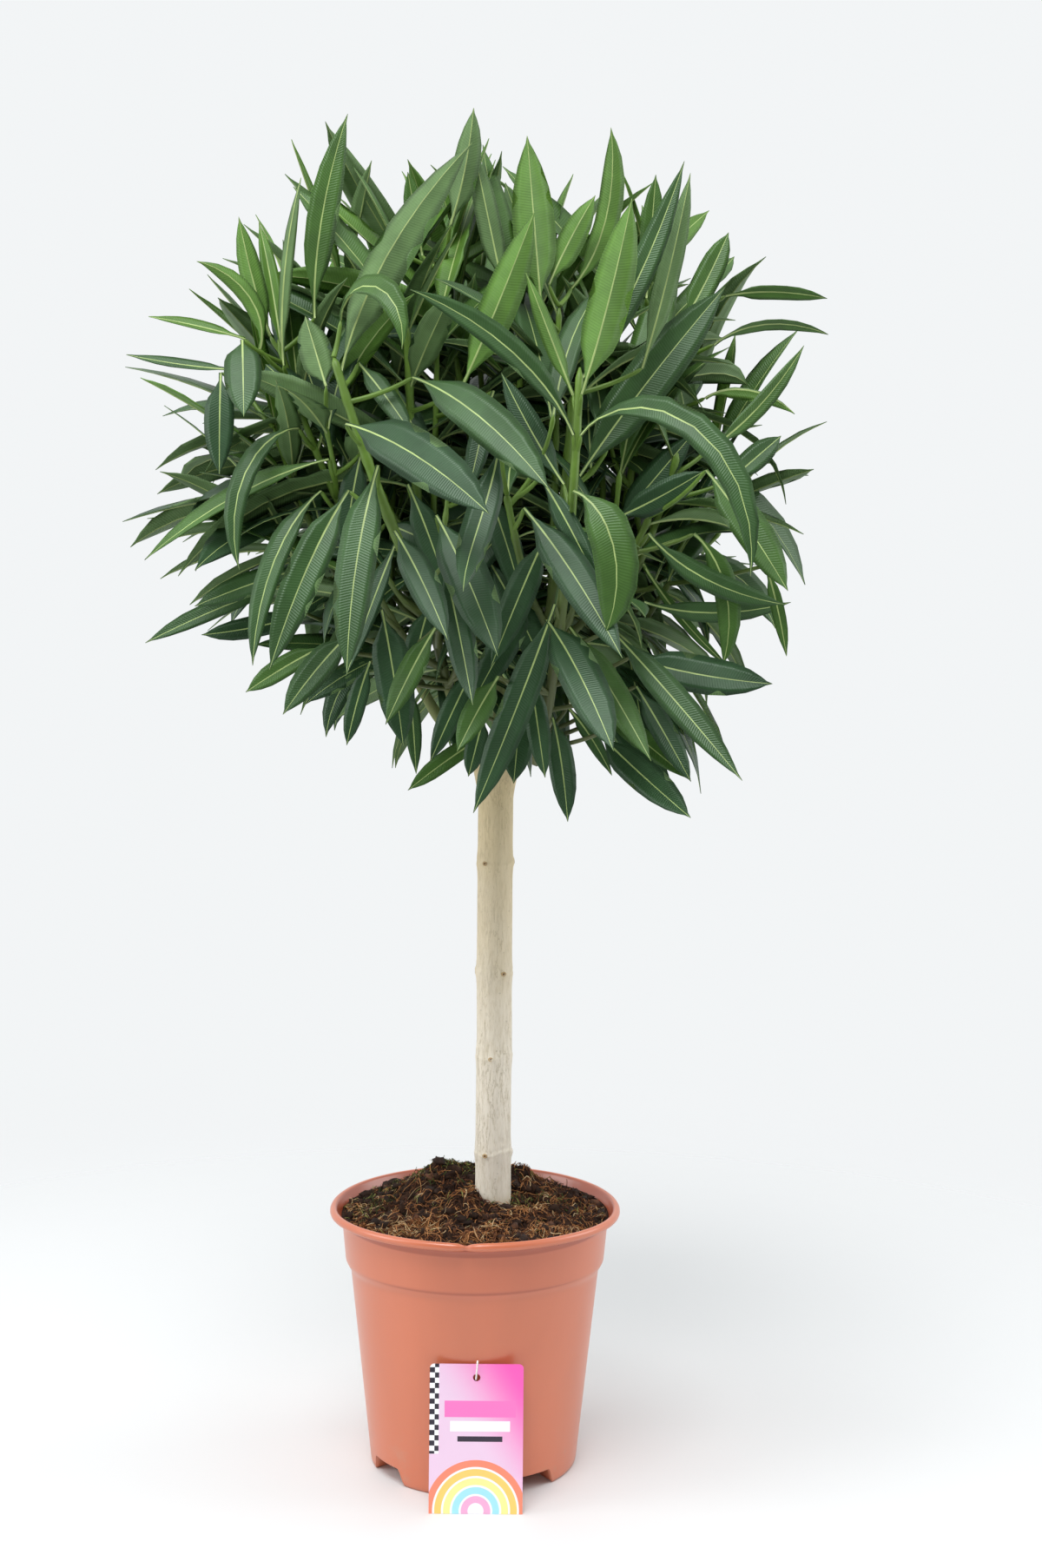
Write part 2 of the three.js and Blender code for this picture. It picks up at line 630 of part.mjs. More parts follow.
// One leaf, or nothing if it meets something in every direction that it is tried in.
function growLeaf({ mass, shoot, faces }, whorl, slot, taken) {
  const key = signed(mass.number * 10 + shoot.number, whorl * 10 + slot, 10, 2);
  const facet = collar(mass, shoot, whorl).foot(slot);
  for (let attempt = 0; attempt < TURNS.length; attempt++) {
    const plan = leafPlan(mass, shoot, whorl, slot, attempt);
    const line = fitted(plan, key);
    if (!line) continue;
    const tip = line.at(-1).point;
    if (Math.hypot(tip.x - TRUNK.x, tip.y - TRUNK.y, (tip.z - CROWN.z) * 0.8) < CROWN.core) continue;
    const surface = new Surface();
    growFrom(surface, surface.ring(facet), { plan, line });
    if (tangled(surface.faces(), faces)) continue;
    const made = (extra) => {
      const rings = leafRings(plan, line, extra);
      const whole = boxed(solid(loft([facet, ...rings])));
      return { mass: mass.number, shoot: shoot.number, whorl, whole, blade: boxed(solid(loft(rings))) };
    };
    const padded = made(GAP);
    if (taken.some((other) => touch(padded, other))) continue;
    taken.push(made(0));
    faces.push(...surface.faces());
    return [{ whorl, slot, plan, line }];
  }
  return [];
}

// ---------------------------------------------------------------- label

// Places a shape that was drawn upright in the XZ plane, foot at z = 0, on the leaning card's line.
function lean(geometry) {
  return geometry.rotateX(-radians(LABEL.lean)).translate(LABEL.x, LABEL.foot, 0);
}

function makeLabel() {
  const { width, height, corner, thickness } = LABEL;
  const half = width / 2;
  const outline = new THREE.Shape();
  outline.moveTo(-half, 0);
  outline.lineTo(half, 0);
  outline.lineTo(half, height - corner);
  outline.absarc(half - corner, height - corner, corner, 0, Math.PI / 2);
  outline.lineTo(-half + corner, height);
  outline.absarc(-half + corner, height - corner, corner, Math.PI / 2, Math.PI);
  const hole = new THREE.Path();
  hole.absarc(0, height - LABEL.drop, LABEL.hole, 0, 2 * Math.PI, true);
  outline.holes.push(hole);
  const card = new THREE.ExtrudeGeometry(outline, { depth: thickness, bevelEnabled: false, curveSegments: 5 });
  const low = 0.5 * thickness * Math.sin(radians(LABEL.lean)) + 0.02;
  const placed = lean(card.rotateX(Math.PI / 2).translate(0, thickness / 2, 0)).translate(0, 0, low);
  addMesh("label", geometryOf(solid(placed)), COLOURS.label, 0.4);
}

// A small closed loop through the card's hole and over its top edge.
function makeLoop() {
  const clear = LOOP.radius + GAP + LABEL.thickness / 2;
  const middle = LABEL.height - LABEL.drop / 2 + 0.4;
  const tall = LABEL.drop / 2 + LOOP.radius + GAP + 0.7;
  const points = Array.from({ length: LOOP.steps }, (_, i) => {
    const a = (2 * Math.PI * i) / LOOP.steps;
    const c = Math.cos(a);
    const s = Math.sin(a);
    return new THREE.Vector3(0.5 * s, clear * Math.sign(c) * Math.sqrt(Math.abs(c)), middle + tall * s);
  });
  const rings = points.map((p, i) => {
    const before = points[(i + LOOP.steps - 1) % LOOP.steps];
    const after = points[(i + 1) % LOOP.steps];
    return ring(p, after.clone().sub(before).normalize(), LOOP.radius, LOOP.sides);
  });
  const index = [];
  for (let i = 0; i < LOOP.steps; i++) {
    for (let j = 0; j < LOOP.sides; j++) {
      const a = i * LOOP.sides + j;
      const b = i * LOOP.sides + ((j + 1) % LOOP.sides);
      const next = ((i + 1) % LOOP.steps) * LOOP.sides;
      const c = next + ((j + 1) % LOOP.sides);
      const d = next + j;
      index.push(a, b, c, a, c, d);
    }
  }
  const positions = rings.flat().flatMap((p) => [p.x, p.y, p.z]);
  const loop = new THREE.BufferGeometry()
    .setAttribute("position", new THREE.Float32BufferAttribute(positions, 3))
    .setIndex(index);
  addMesh("label_loop", lean(loop), COLOURS.loop, 0.6);
}

// ---------------------------------------------------------------- assembly

const pot = makePot();
makeSoil();
const trunk = solid(trunkGeometry());
addMesh("trunk", geometryOf(trunk), COLOURS.bark, 0.85);
const trunkClear = solid(trunkGeometry(GAP));
const masses = planMasses();
const boughs = masses.map((mass) => makeBough(mass, trunkClear));
for (const { mass, body } of growMasses(masses, [pot, trunk, ...boughs])) {
  addMesh(`foliage_${mass.name}`, geometryOf(body), COLOURS.leaf, 0.55);
}
makeLabel();
makeLoop();

export default oleander;
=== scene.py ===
"""The looks of a potted oleander standard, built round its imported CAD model.

A bare trunk with fine bark stands in coarse peat in a terracotta-coloured plastic pot. Its round crown is
grown again from the rule that the CAD model follows, with more leaves, after the leaves and stems that show
most from the front, which stand at listed places. Each leaf is a thin, folded blade with a pale midrib.
Lengths in the growing rule and in the property groups are millimetres. Meshes are metres, +Z up.
"""

import math

import bpy
import numpy as np
from bpy.props import FloatProperty, FloatVectorProperty, IntProperty, PointerProperty
from mathutils import Matrix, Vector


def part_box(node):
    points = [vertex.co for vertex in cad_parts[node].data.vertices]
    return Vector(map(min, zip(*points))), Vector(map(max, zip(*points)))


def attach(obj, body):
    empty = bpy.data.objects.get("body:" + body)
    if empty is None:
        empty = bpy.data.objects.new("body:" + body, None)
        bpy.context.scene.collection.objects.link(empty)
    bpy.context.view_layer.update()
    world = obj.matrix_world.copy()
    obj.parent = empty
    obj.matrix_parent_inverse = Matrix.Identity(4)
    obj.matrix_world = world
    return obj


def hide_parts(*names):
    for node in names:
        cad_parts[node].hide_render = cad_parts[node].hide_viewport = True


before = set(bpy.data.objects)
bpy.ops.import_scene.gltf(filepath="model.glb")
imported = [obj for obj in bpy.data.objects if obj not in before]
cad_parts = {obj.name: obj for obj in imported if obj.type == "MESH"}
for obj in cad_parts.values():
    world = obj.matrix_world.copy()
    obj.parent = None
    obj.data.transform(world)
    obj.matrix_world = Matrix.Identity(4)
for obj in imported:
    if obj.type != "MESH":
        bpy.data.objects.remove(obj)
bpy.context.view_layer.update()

bl_info = {
    "name": "Potted oleander standard",
    "version": (1, 0, 0),
    "blender": (4, 5, 0),
    "location": "3D Viewport > Sidebar > Oleander",
    "description": "Builds the visible surfaces of a potted oleander standard round its CAD model",
    "category": "Add Mesh",
}

MM = 0.001
UP = np.array([0.0, 0.0, 1.0])

# ---------------------------------------------------------------- sizes shared with the CAD, in millimetres

POT = {
    "height": 184.0, "wall": 1.6, "foot": 73.0, "shoulder": (140.0, 87.2), "lip": 102.0,
    "collar": ((147.0, 91.0), (177.0, 93.6)), "floor": (12.0, 17.0),
}
CHANNELS = {"count": 4, "first": 35.0, "width": 40.0, "top": 27.0, "inner": 24.0}
SOIL_EDGE = 178.0
LIP_PULL = 3.0
# x, y, height, spread
SOIL_HEAPS = [(-20.0, 40.0, 19.0, 34.0), (32.0, 44.0, 15.0, 20.0), (0.0, 0.0, 7.0, 80.0)]
TRUNK = {"x": 12.3, "y": 0.0, "foot": 172.0, "head": 498.0, "radius": 12.2, "flare": 1.3}
TRUNK_JOINTS = [222.0, 291.0, 351.0, 428.0]
BUD_AZIMUTHS = (245.0, 262.0, 300.0, 238.0)  # of the first bud scar at each joint
BUD_SIDES = (0.0, 122.0, 238.0)  # from there to each of the joint's scars
SCAR_RINGS = ((2.3, -0.4), (1.9, 0.45), (1.25, 0.62), (0.8, 0.2))  # radius, height over the bark
HEAD = {"swell": 4.0, "reach": 28.0, "dome": 9.0}

SEED = 11.7
CROWN = {
    "x": -5.0, "y": -2.0, "z": 705.0, "radius": 243.0, "shoulder": 2.5, "skirt": 2.05, "fuller": 1.12,
    "core": 60.0,
}
RING = ["right", "back_right", "back_left", "left", "front_left", "front_right"]
RING_AZIMUTHS = [-6.0, 56.0, 116.0, 176.0, 233.0, 298.0]
# from, turn, radius, height, whorls, bare, girth, age
RING_SHOOTS = [
    (0, 0, 106, 822, 10, 0.08, 4.4, 0),
    (0.24, -26, 160, 772, 8, 0.14, 3.7, 0),
    (0.16, 25, 154, 722, 7, 0.2, 3.6, 0),
    (0.08, -5, 136, 650, 5, 0.24, 3.4, 2),
    (0.02, 19, 70, 588, 3, 0.4, 3.2, 3),
    (0.3, 6, 72, 800, 6, 0.3, 3.4, 1),
    (0.2, -36, 112, 696, 5, 0.3, 3.2, 2),
]
TOP_SHOOTS = [
    (0, 20, 30, 838, 7, 0.3, 4, 0),
    (0.12, 112, 50, 816, 6, 0.34, 3.6, 0),
    (0.2, 205, 42, 830, 6, 0.34, 3.6, 0),
    (0.28, 292, 48, 818, 6, 0.34, 3.4, 0),
]
BOUGH = {
    "root": 6.0, "height": 500.0, "elbow_radius": 0.8, "elbow_height": 528.0, "share": 0.34, "girth": 5.2,
}
SHOOT = {"tip_taper": 0.62, "tip": 7.0}
LEAF = {"length": 152.0, "spread": 28.0, "width": 0.165}
AGE_SIZE = np.array([0.72, 0.96, 1.06, 1.1, 1.1, 1.06, 1.02, 0.98, 0.94, 0.9])
AGE_LEAN = np.array([13.0, 27, 43, 58, 70, 80, 86, 90, 94, 97])
AGE_DROOP = np.array([8.0, 22, 46, 66, 72, 70, 64, 58, 54, 50])
AGE_WIDTH = np.array([0.85, 0.95, 1, 1, 1, 1, 1, 1, 1, 1])
WHORL = 3
LEAF_STEPS = 24
SHORTER = np.array([1, 0.94, 0.88, 0.82, 0.76, 0.7])
MIN_LEAF = 74.0
TURNS = np.array([0, 14, -14, 28, -28, 44, -44, 60, -60])
HANGS = np.array([1.0, 0.7, 1.35])
FRONT_FROM = -50.0  # a shoot further forward than this tries leaves of each of the FRONT_SIZES
FRONT_SIZES = (1.0, 0.7, 0.5)
CLOSE = 180.0

# The points of PLACED_TWIGS and PLACED_LEAVES weren't chosen as sizes. Another program worked them out, along
# sight lines from VIEWER and at depths that were guessed. They copy places and follow no rule.
PLACED_TWIGS = [
    ((-29, -85, 601), (-60, -150, 670), (-89, -130, 762)),
    ((40, -30, 501), (59, -165, 602), (64, -130, 757)),
]
PLACED_GIRTH = 4.2
PLACED_BEND = 0.7
FRONT = np.array([0.0, -0.94, 0.34])
VIEWER = np.array([29.7, -1562.0, 652.0])
CAMERA = {"lens": 52.2, "frame": 36.0, "tilt": 6.2, "roll": 0.5}
# foot, tip, arch, turn, width, face, age: see placed_leaves. An age over 4 changes only the green, so the
# ages of 5 and 6 are painted shade on leaves low in the crown and behind the front ones.
PLACED_LEAVES = [
    # on the front right shoot
    ((60, -170, 680), (80, -185, 595), 105, 0, 27, 0, 2.6),
    ((65, -140, 715), (165, -205, 630), 150, 0, 19, 10, 3.2),
    ((65, -85, 690), (160, -55, 815), 8, 0, 32, 0, 3.2),
    ((60, -140, 715), (-40, -165, 800), 50, 0, 17, 0, 1.6),
    ((65, -110, 750), (130, -85, 890), -18, 0, 18, 0, 3.2),
    ((65, -140, 740), (95, -130, 860), -8, 0, 26, 180, 0),
    ((60, -130, 740), (30, -125, 815), 0, 0, 11, 180, 0),
    ((40, -125, 690), (80, -165, 615), 10, 0, 15, 30, 4),
    ((55, -125, 685), (15, -105, 755), -10, 0, 17, 0, 6),
    ((90, -85, 665), (145, -95, 695), -10, 0, 18, 20, 6),
    ((90, -60, 660), (140, -60, 720), 0, 0, 19, 0, 6),
    # on the front left shoot
    ((-80, -150, 720), (10, -235, 665), 25, 0, 32, 0, 3.2),
    ((-60, -150, 695), (-75, -205, 570), 20, 20, 24, 0, 3.2),
    ((-80, -125, 680), (-125, -170, 570), 20, 0, 23, -10, 2.4),
    ((-85, -130, 750), (-5, -85, 900), 35, 0, 27, 175, 0),
    ((-85, -125, 785), (-45, -160, 765), 200, 0, 17, 0, 1.6),
    ((-115, -85, 720), (-150, -115, 630), 110, 0, 16, 15, 3.2),
    ((-100, -95, 680), (-140, -130, 570), 55, 0, 17, 15, 3.2),
    ((-95, -95, 700), (-215, -85, 635), 30, 0, 17, 25, 2.4),
    ((-50, -110, 650), (-80, -145, 565), 5, 0, 14, 20, 5),
    ((-75, -110, 760), (-40, -140, 715), 10, 0, 14, 0, 4),
    ((-95, -115, 745), (-110, -95, 790), 0, 0, 21, 180, 5),
    ((-75, -85, 705), (-85, -95, 640), 10, 0, 18, 0, 6),
    ((-30, -85, 610), (-45, -95, 550), 5, 0, 17, 0, 6),
    ((-60, -75, 660), (-15, -85, 640), 10, 0, 17, 0, 6),
    ((-55, -70, 750), (-30, -85, 685), 15, 0, 17, 0, 6),
    # hanging from the middle
    ((-40, -130, 750), (45, -205, 680), 30, 0, 28, 0, 3.2),
    ((-25, -125, 665), (15, -185, 580), 15, 0, 28, 0, 5),
    ((-50, -145, 655), (-15, -195, 590), 15, 0, 20, 0, 5),
    ((-20, -130, 635), (0, -185, 550), 10, 0, 19, 0, 5),
    ((30, -130, 670), (90, -195, 580), 15, 0, 25, 0, 6),
    ((15, -160, 710), (-5, -230, 620), -45, 30, 20, 0, 5),
    ((50, -125, 610), (0, -150, 480), -5, 0, 21, 0, 6),
    ((45, -125, 600), (85, -205, 525), 20, 0, 27, 0, 6),
    ((35, -110, 565), (45, -125, 500), 0, 0, 15, 0, 6),
    ((50, -85, 535), (60, -110, 470), 25, 0, 17, 0, 6),
    ((15, -140, 565), (-10, -165, 520), 10, 0, 17, 0, 1.6),
    ((30, -105, 555), (25, -115, 495), 0, 0, 21, 0, 5),
    ((5, -70, 535), (-5, -75, 495), 0, 0, 14, 0, 5),
    ((0, -70, 570), (-30, -85, 505), 5, 0, 16, 0, 5),
    ((45, -115, 655), (10, -130, 570), 5, 0, 20, 0, 6),
    ((10, -85, 745), (-5, -110, 680), 10, 0, 15, 0, 4),
    ((35, -100, 615), (0, -115, 550), 0, 0, 20, 0, 6),
    ((30, -60, 670), (-20, -85, 610), 10, 0, 19, 0, 6),
    ((5, -75, 685), (30, -90, 610), 10, 0, 19, 0, 6),
    ((-45, -85, 685), (-15, -95, 605), 10, 0, 19, 0, 6),
    ((5, -70, 640), (50, -90, 555), 10, 0, 20, 0, 6),
    # low at the right
    ((85, -125, 595), (165, -180, 505), 5, 0, 19, 0, 4),
    ((100, -85, 575), (190, -110, 560), -15, 0, 26, 0, 4),
    ((80, -85, 525), (135, -165, 480), -5, 0, 22, 0, 6),
    ((60, -110, 595), (110, -165, 515), 10, 0, 19, 0, 4),
    ((105, -70, 555), (140, -95, 495), 5, 0, 16, 0, 6),
    ((145, -110, 695), (195, -140, 620), 10, 0, 25, -10, 2.4),
    ((140, -85, 655), (160, -85, 570), 70, 0, 16, 0, 3),
    ((110, -95, 655), (200, -85, 610), -45, 0, 16, 0, 3.2),
    ((110, -55, 610), (210, -30, 610), -35, 0, 14, 10, 3.2),
    ((60, -55, 540), (90, -60, 495), 20, 0, 10, 0, 4),
    ((85, -50, 535), (130, -55, 490), 5, 0, 17, 0, 5),
    ((80, -40, 540), (140, -85, 495), 5, 0, 15, 0, 3),
    ((190, -55, 635), (205, -55, 575), 10, 0, 9, 10, 2),
    ((110, -40, 635), (170, -40, 565), -20, 0, 7, 20, 1),
    # low at the left
    ((-80, -110, 590), (-120, -140, 540), 15, 0, 20, 0, 3.2),
    ((-100, -85, 580), (-150, -85, 550), 10, 0, 15, 0, 3.2),
    ((-125, -55, 620), (-220, -55, 580), 12, 0, 14, 10, 3.2),
    ((-115, -70, 630), (-185, -70, 605), 10, 0, 17, 0, 3.2),
    ((-115, -40, 600), (-185, -40, 585), -15, 0, 16, 0, 5),
    ((-60, -110, 605), (-45, -130, 520), 10, 0, 24, 0, 4),
    ((-25, -125, 595), (-55, -150, 535), 10, 0, 16, 0, 3.2),
    ((5, -55, 520), (-45, -70, 485), 10, 0, 13, 0, 1.6),
    ((-70, -70, 570), (-85, -75, 515), 10, 0, 13, 0, 5),
    ((-45, -55, 555), (-40, -60, 495), 5, 0, 11, 0, 4),
    # out at the right
    ((150, -30, 745), (210, -30, 735), 80, 0, 14, 150, 1.6),
    ((165, 0, 815), (235, 10, 815), 25, 0, 10, 40, 1.6),
    ((155, -30, 780), (235, 0, 790), 60, 0, 8, 50, 1.6),
    ((150, -55, 710), (215, -30, 780), -30, 0, 12, 20, 1.6),
    ((165, -55, 690), (200, -40, 720), 0, 0, 17, 0, 3.2),
    # out at the left
    ((-125, -85, 760), (-115, -70, 880), 30, 0, 10, 150, 1.6),
    ((-105, -85, 790), (-85, -70, 920), 25, 0, 20, 20, 1.6),
    ((-135, -70, 780), (-155, -70, 855), -10, 0, 15, 180, 0),
    ((-140, -85, 770), (-180, -85, 825), 100, 0, 12, 180, 0),
    ((-155, -40, 780), (-220, -30, 795), 10, 0, 9, 20, 1.6),
    ((-160, -40, 760), (-235, -30, 770), -10, 0, 9, 20, 1.6),
    ((-150, -95, 775), (-145, -130, 725), 30, 0, 24, 0, 3.2),
    ((-165, -85, 755), (-165, -95, 690), 20, 0, 20, 10, 5),
    # upright at the top
    ((105, -85, 760), (135, -70, 885), -8, 0, 15, 180, 1.6),
    ((40, -70, 800), (30, -55, 910), 0, 0, 28, 180, 0),
    ((-10, -115, 745), (35, -105, 855), -5, 0, 24, 180, 0),
    ((45, -60, 815), (75, -40, 875), 10, 0, 18, 180, 0),
    ((60, -40, 815), (85, -30, 920), -55, 0, 17, 170, 0),
    ((-20, -40, 855), (-5, -40, 930), -15, 0, 18, 180, 0),
    ((15, -40, 815), (-5, -30, 905), 0, 0, 16, 180, 1.6),
    ((135, -30, 795), (165, -15, 855), -10, 0, 18, 0, 3.2),
    ((-55, -30, 840), (-85, -15, 895), 10, 0, 9, 60, 1.6),
    ((-40, 0, 840), (-50, 0, 895), 0, 0, 14, 0, 1.6),
    ((110, -30, 810), (115, -30, 890), 0, 0, 15, 0, 3.2),
]


# ---------------------------------------------------------------- arrays and meshes


def xyz(x, y, z):
    """Points from three numbers or arrays that share a shape."""
    return np.stack(np.broadcast_arrays(x, y, z), axis=-1)


def unit(v):
    """Vectors divided by their lengths."""
    return v / np.maximum(np.linalg.norm(v, axis=-1, keepdims=True), 1e-12)


def lerp(a, b, t):
    """The point a share t of the way from a to b."""
    return a + (b - a) * t


def smooth(x, low, high):
    """A smooth step: 0 below low, 1 above high, and 3u^2 - 2u^3 between them, with u the share of the way."""
    u = np.clip((x - low) / (high - low), 0, 1)
    return u * u * (3 - 2 * u)


def lattice(points, seed):
    """A number from 0 to 1 for each whole-numbered lattice point: the fraction of a large sine of its
    coordinates."""
    x = np.sin(points @ np.array([12.9898, 78.233, 37.719]) + seed * 7.13) * 43758.5453
    return x - np.floor(x)


def value_noise(points, seed=0):
    """Smooth noise from -1 to 1: the lattice numbers at a point's eight neighbours, blended by smooth
    steps."""
    cell = np.floor(points)
    part = points - cell
    part = part * part * (3 - 2 * part)
    total = 0.0
    for corner in np.ndindex(2, 2, 2):
        weight = np.prod(np.where(np.array(corner) == 1, part, 1 - part), axis=-1)
        total = total + weight * lattice(cell + np.array(corner), seed)
    return 2 * total - 1


def fractal(points, octaves, seed=0, gain=0.5):
    """The sum of value noise at 1, 2, 4 ... times the frequency, each weaker than the last by the gain."""
    total = 0.0
    for i in range(octaves):
        total = total + gain**i * value_noise(points * 2.0**i + 3.7 * i, seed + i)
    return total


def grid_quads(rows, columns, closed=False):
    """The quads of a grid of points, row by row. Where closed, the last column joins the first."""
    r = np.arange(rows - 1)[:, None]
    c = np.arange(columns if closed else columns - 1)[None, :]
    after = (c + 1) % columns
    corners = [r * columns + c, r * columns + after, (r + 1) * columns + after, (r + 1) * columns + c]
    return np.stack(np.broadcast_arrays(*corners), axis=-1).reshape(-1, 4)


def cap_fans(rows, columns):
    """The triangles that join a closed grid's first row to a point after the grid, and its last to the next
    one."""
    c = np.arange(columns)
    after = (c + 1) % columns
    first = rows * columns
    low = np.stack([after, c, np.full(columns, first)], axis=-1)
    last = (rows - 1) * columns
    high = np.stack([last + c, last + after, np.full(columns, first + 1)], axis=-1)
    return np.vstack([low, high])


def closed_tube(rings):
    """Points, quads and triangles of a tube through rings of points, with the middles of its ends as
    poles."""
    rows, columns, _ = rings.shape
    points = np.vstack([rings.reshape(-1, 3), rings[0].mean(0), rings[-1].mean(0)])
    return points, grid_quads(rows, columns, closed=True), cap_fans(rows, columns)


def rings_along(path, radii, sides, across=None):
    """Rings about a path: centre + radius (side cos a + up sin a). across is the side at every point, and
    up is it turned about the way forward."""
    forward = unit(np.gradient(path, axis=0))
    side = np.cross(UP, forward) if across is None else np.broadcast_to(across, path.shape)
    side = unit(side - forward * (side * forward).sum(-1, keepdims=True))
    up = np.cross(forward, side)
    angle = 2 * np.pi * np.arange(sides) / sides
    radii = np.broadcast_to(np.asarray(radii, float).reshape(len(path), -1), (len(path), sides))
    out = side[:, None] * np.cos(angle)[None, :, None] + up[:, None] * np.sin(angle)[None, :, None]
    return path[:, None] + radii[..., None] * out


class Joined:
    """Points and faces of many bodies gathered into one mesh, each body with one material slot."""

    def __init__(self):
        self.points, self.quads, self.tris, self.quad_slots, self.tri_slots = [], [], [], [], []
        self.count = 0

    def add(self, points, quads, tris, slot=0):
        self.points.append(points)
        self.quads.append(quads + self.count)
        self.tris.append(tris + self.count)
        self.quad_slots.append(np.broadcast_to(slot, len(quads)))
        self.tri_slots.append(np.broadcast_to(slot, len(tris)))
        self.count += len(points)

    def add_copies(self, bodies, quads, tris, quad_slots, tri_slots):
        """Adds bodies that share one set of faces. The slots are one value a body, or one a body and face."""
        count, size, _ = bodies.shape
        start = (np.arange(count) * size)[:, None, None] + self.count
        self.points.append(bodies.reshape(-1, 3))
        self.quads.append((quads[None] + start).reshape(-1, 4))
        self.tris.append((tris[None] + start).reshape(-1, 3))
        for kept, slots, faces in ((self.quad_slots, quad_slots, quads), (self.tri_slots, tri_slots, tris)):
            slots = np.asarray(slots)
            kept.append(np.broadcast_to(slots.reshape(count, -1), (count, len(faces))).ravel())
        self.count += count * size

    def piece(self, name, materials, uv=None, scale=MM):
        return make_piece(
            name,
            np.vstack(self.points) * scale,
            np.vstack(self.quads),
            np.vstack(self.tris),
            materials,
            np.concatenate(self.quad_slots + self.tri_slots),
            uv,
        )


def make_piece(name, points, quads, tris, materials, slots=None, uv=None):
    """A smooth-shaded mesh object at the origin from arrays of points, quads and triangles, in metres."""
    mesh = bpy.data.meshes.new(name)
    corners = np.concatenate([quads.ravel(), tris.ravel()]).astype(np.int32)
    sides = np.concatenate([np.full(len(quads), 4), np.full(len(tris), 3)])
    starts = np.concatenate([[0], np.cumsum(sides)[:-1]]).astype(np.int32)
    mesh.vertices.add(len(points))
    mesh.vertices.foreach_set("co", points.astype(np.float32).ravel())
    mesh.loops.add(len(corners))
    mesh.loops.foreach_set("vertex_index", corners)
    mesh.polygons.add(len(sides))
    mesh.polygons.foreach_set("loop_start", starts)
    mesh.update(calc_edges=True)
    if uv is not None:
        layer = mesh.uv_layers.new(name="blade")
        layer.data.foreach_set("uv", uv[corners].astype(np.float32).ravel())
    for material in materials:
        mesh.materials.append(material)
    if slots is not None:
        mesh.polygons.foreach_set("material_index", slots.astype(np.int32))
    mesh.shade_smooth()
    mesh.validate()
    piece = bpy.data.objects.new(name, mesh)
    bpy.context.scene.collection.objects.link(piece)
    return piece


def seat(piece, slot, *nodes):
    """The piece rides on the plant's one body and stands for CAD nodes, which are hidden. Its slot is not
    used.
    """
    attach(piece, "root")
    if nodes:
        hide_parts(*nodes)


# ---------------------------------------------------------------- materials


class Signal:
    """A shader socket that is added, multiplied and so on as a number is, each time by one Math node."""

    def __init__(self, shader, socket):
        self.shader = shader
        self.socket = socket

    def _math(self, operation, *values):
        return self.shader.node("ShaderNodeMath", {"operation": operation}, dict(enumerate(values)))

    def __add__(self, other):
        return self._math("ADD", self, other)

    __radd__ = __add__

    def __mul__(self, other):
        return self._math("MULTIPLY", self, other)

    __rmul__ = __mul__

    def __sub__(self, other):
        return self._math("SUBTRACT", self, other)

    def __rsub__(self, other):
        return self._math("SUBTRACT", other, self)

    def __truediv__(self, other):
        return self._math("DIVIDE", self, other)

    def __pow__(self, other):
        return self._math("POWER", self, other)

    def __neg__(self):
        return self._math("MULTIPLY", self, -1.0)

    def above(self, edge):
        return self._math("GREATER_THAN", self, edge)

    def abs(self):
        return self._math("ABSOLUTE", self)

    def sin(self):
        return self._math("SINE", self)

    def least(self, other):
        return self._math("MINIMUM", self, other)

    def most(self, other):
        return self._math("MAXIMUM", self, other)

    def step(self, low, high):
        """0 below low, 1 above high and smooth between them."""
        settings = {"interpolation_type": "SMOOTHSTEP", "clamp": True}
        values = {"Value": self, "From Min": low, "From Max": high}
        return self.shader.node("ShaderNodeMapRange", settings, values)


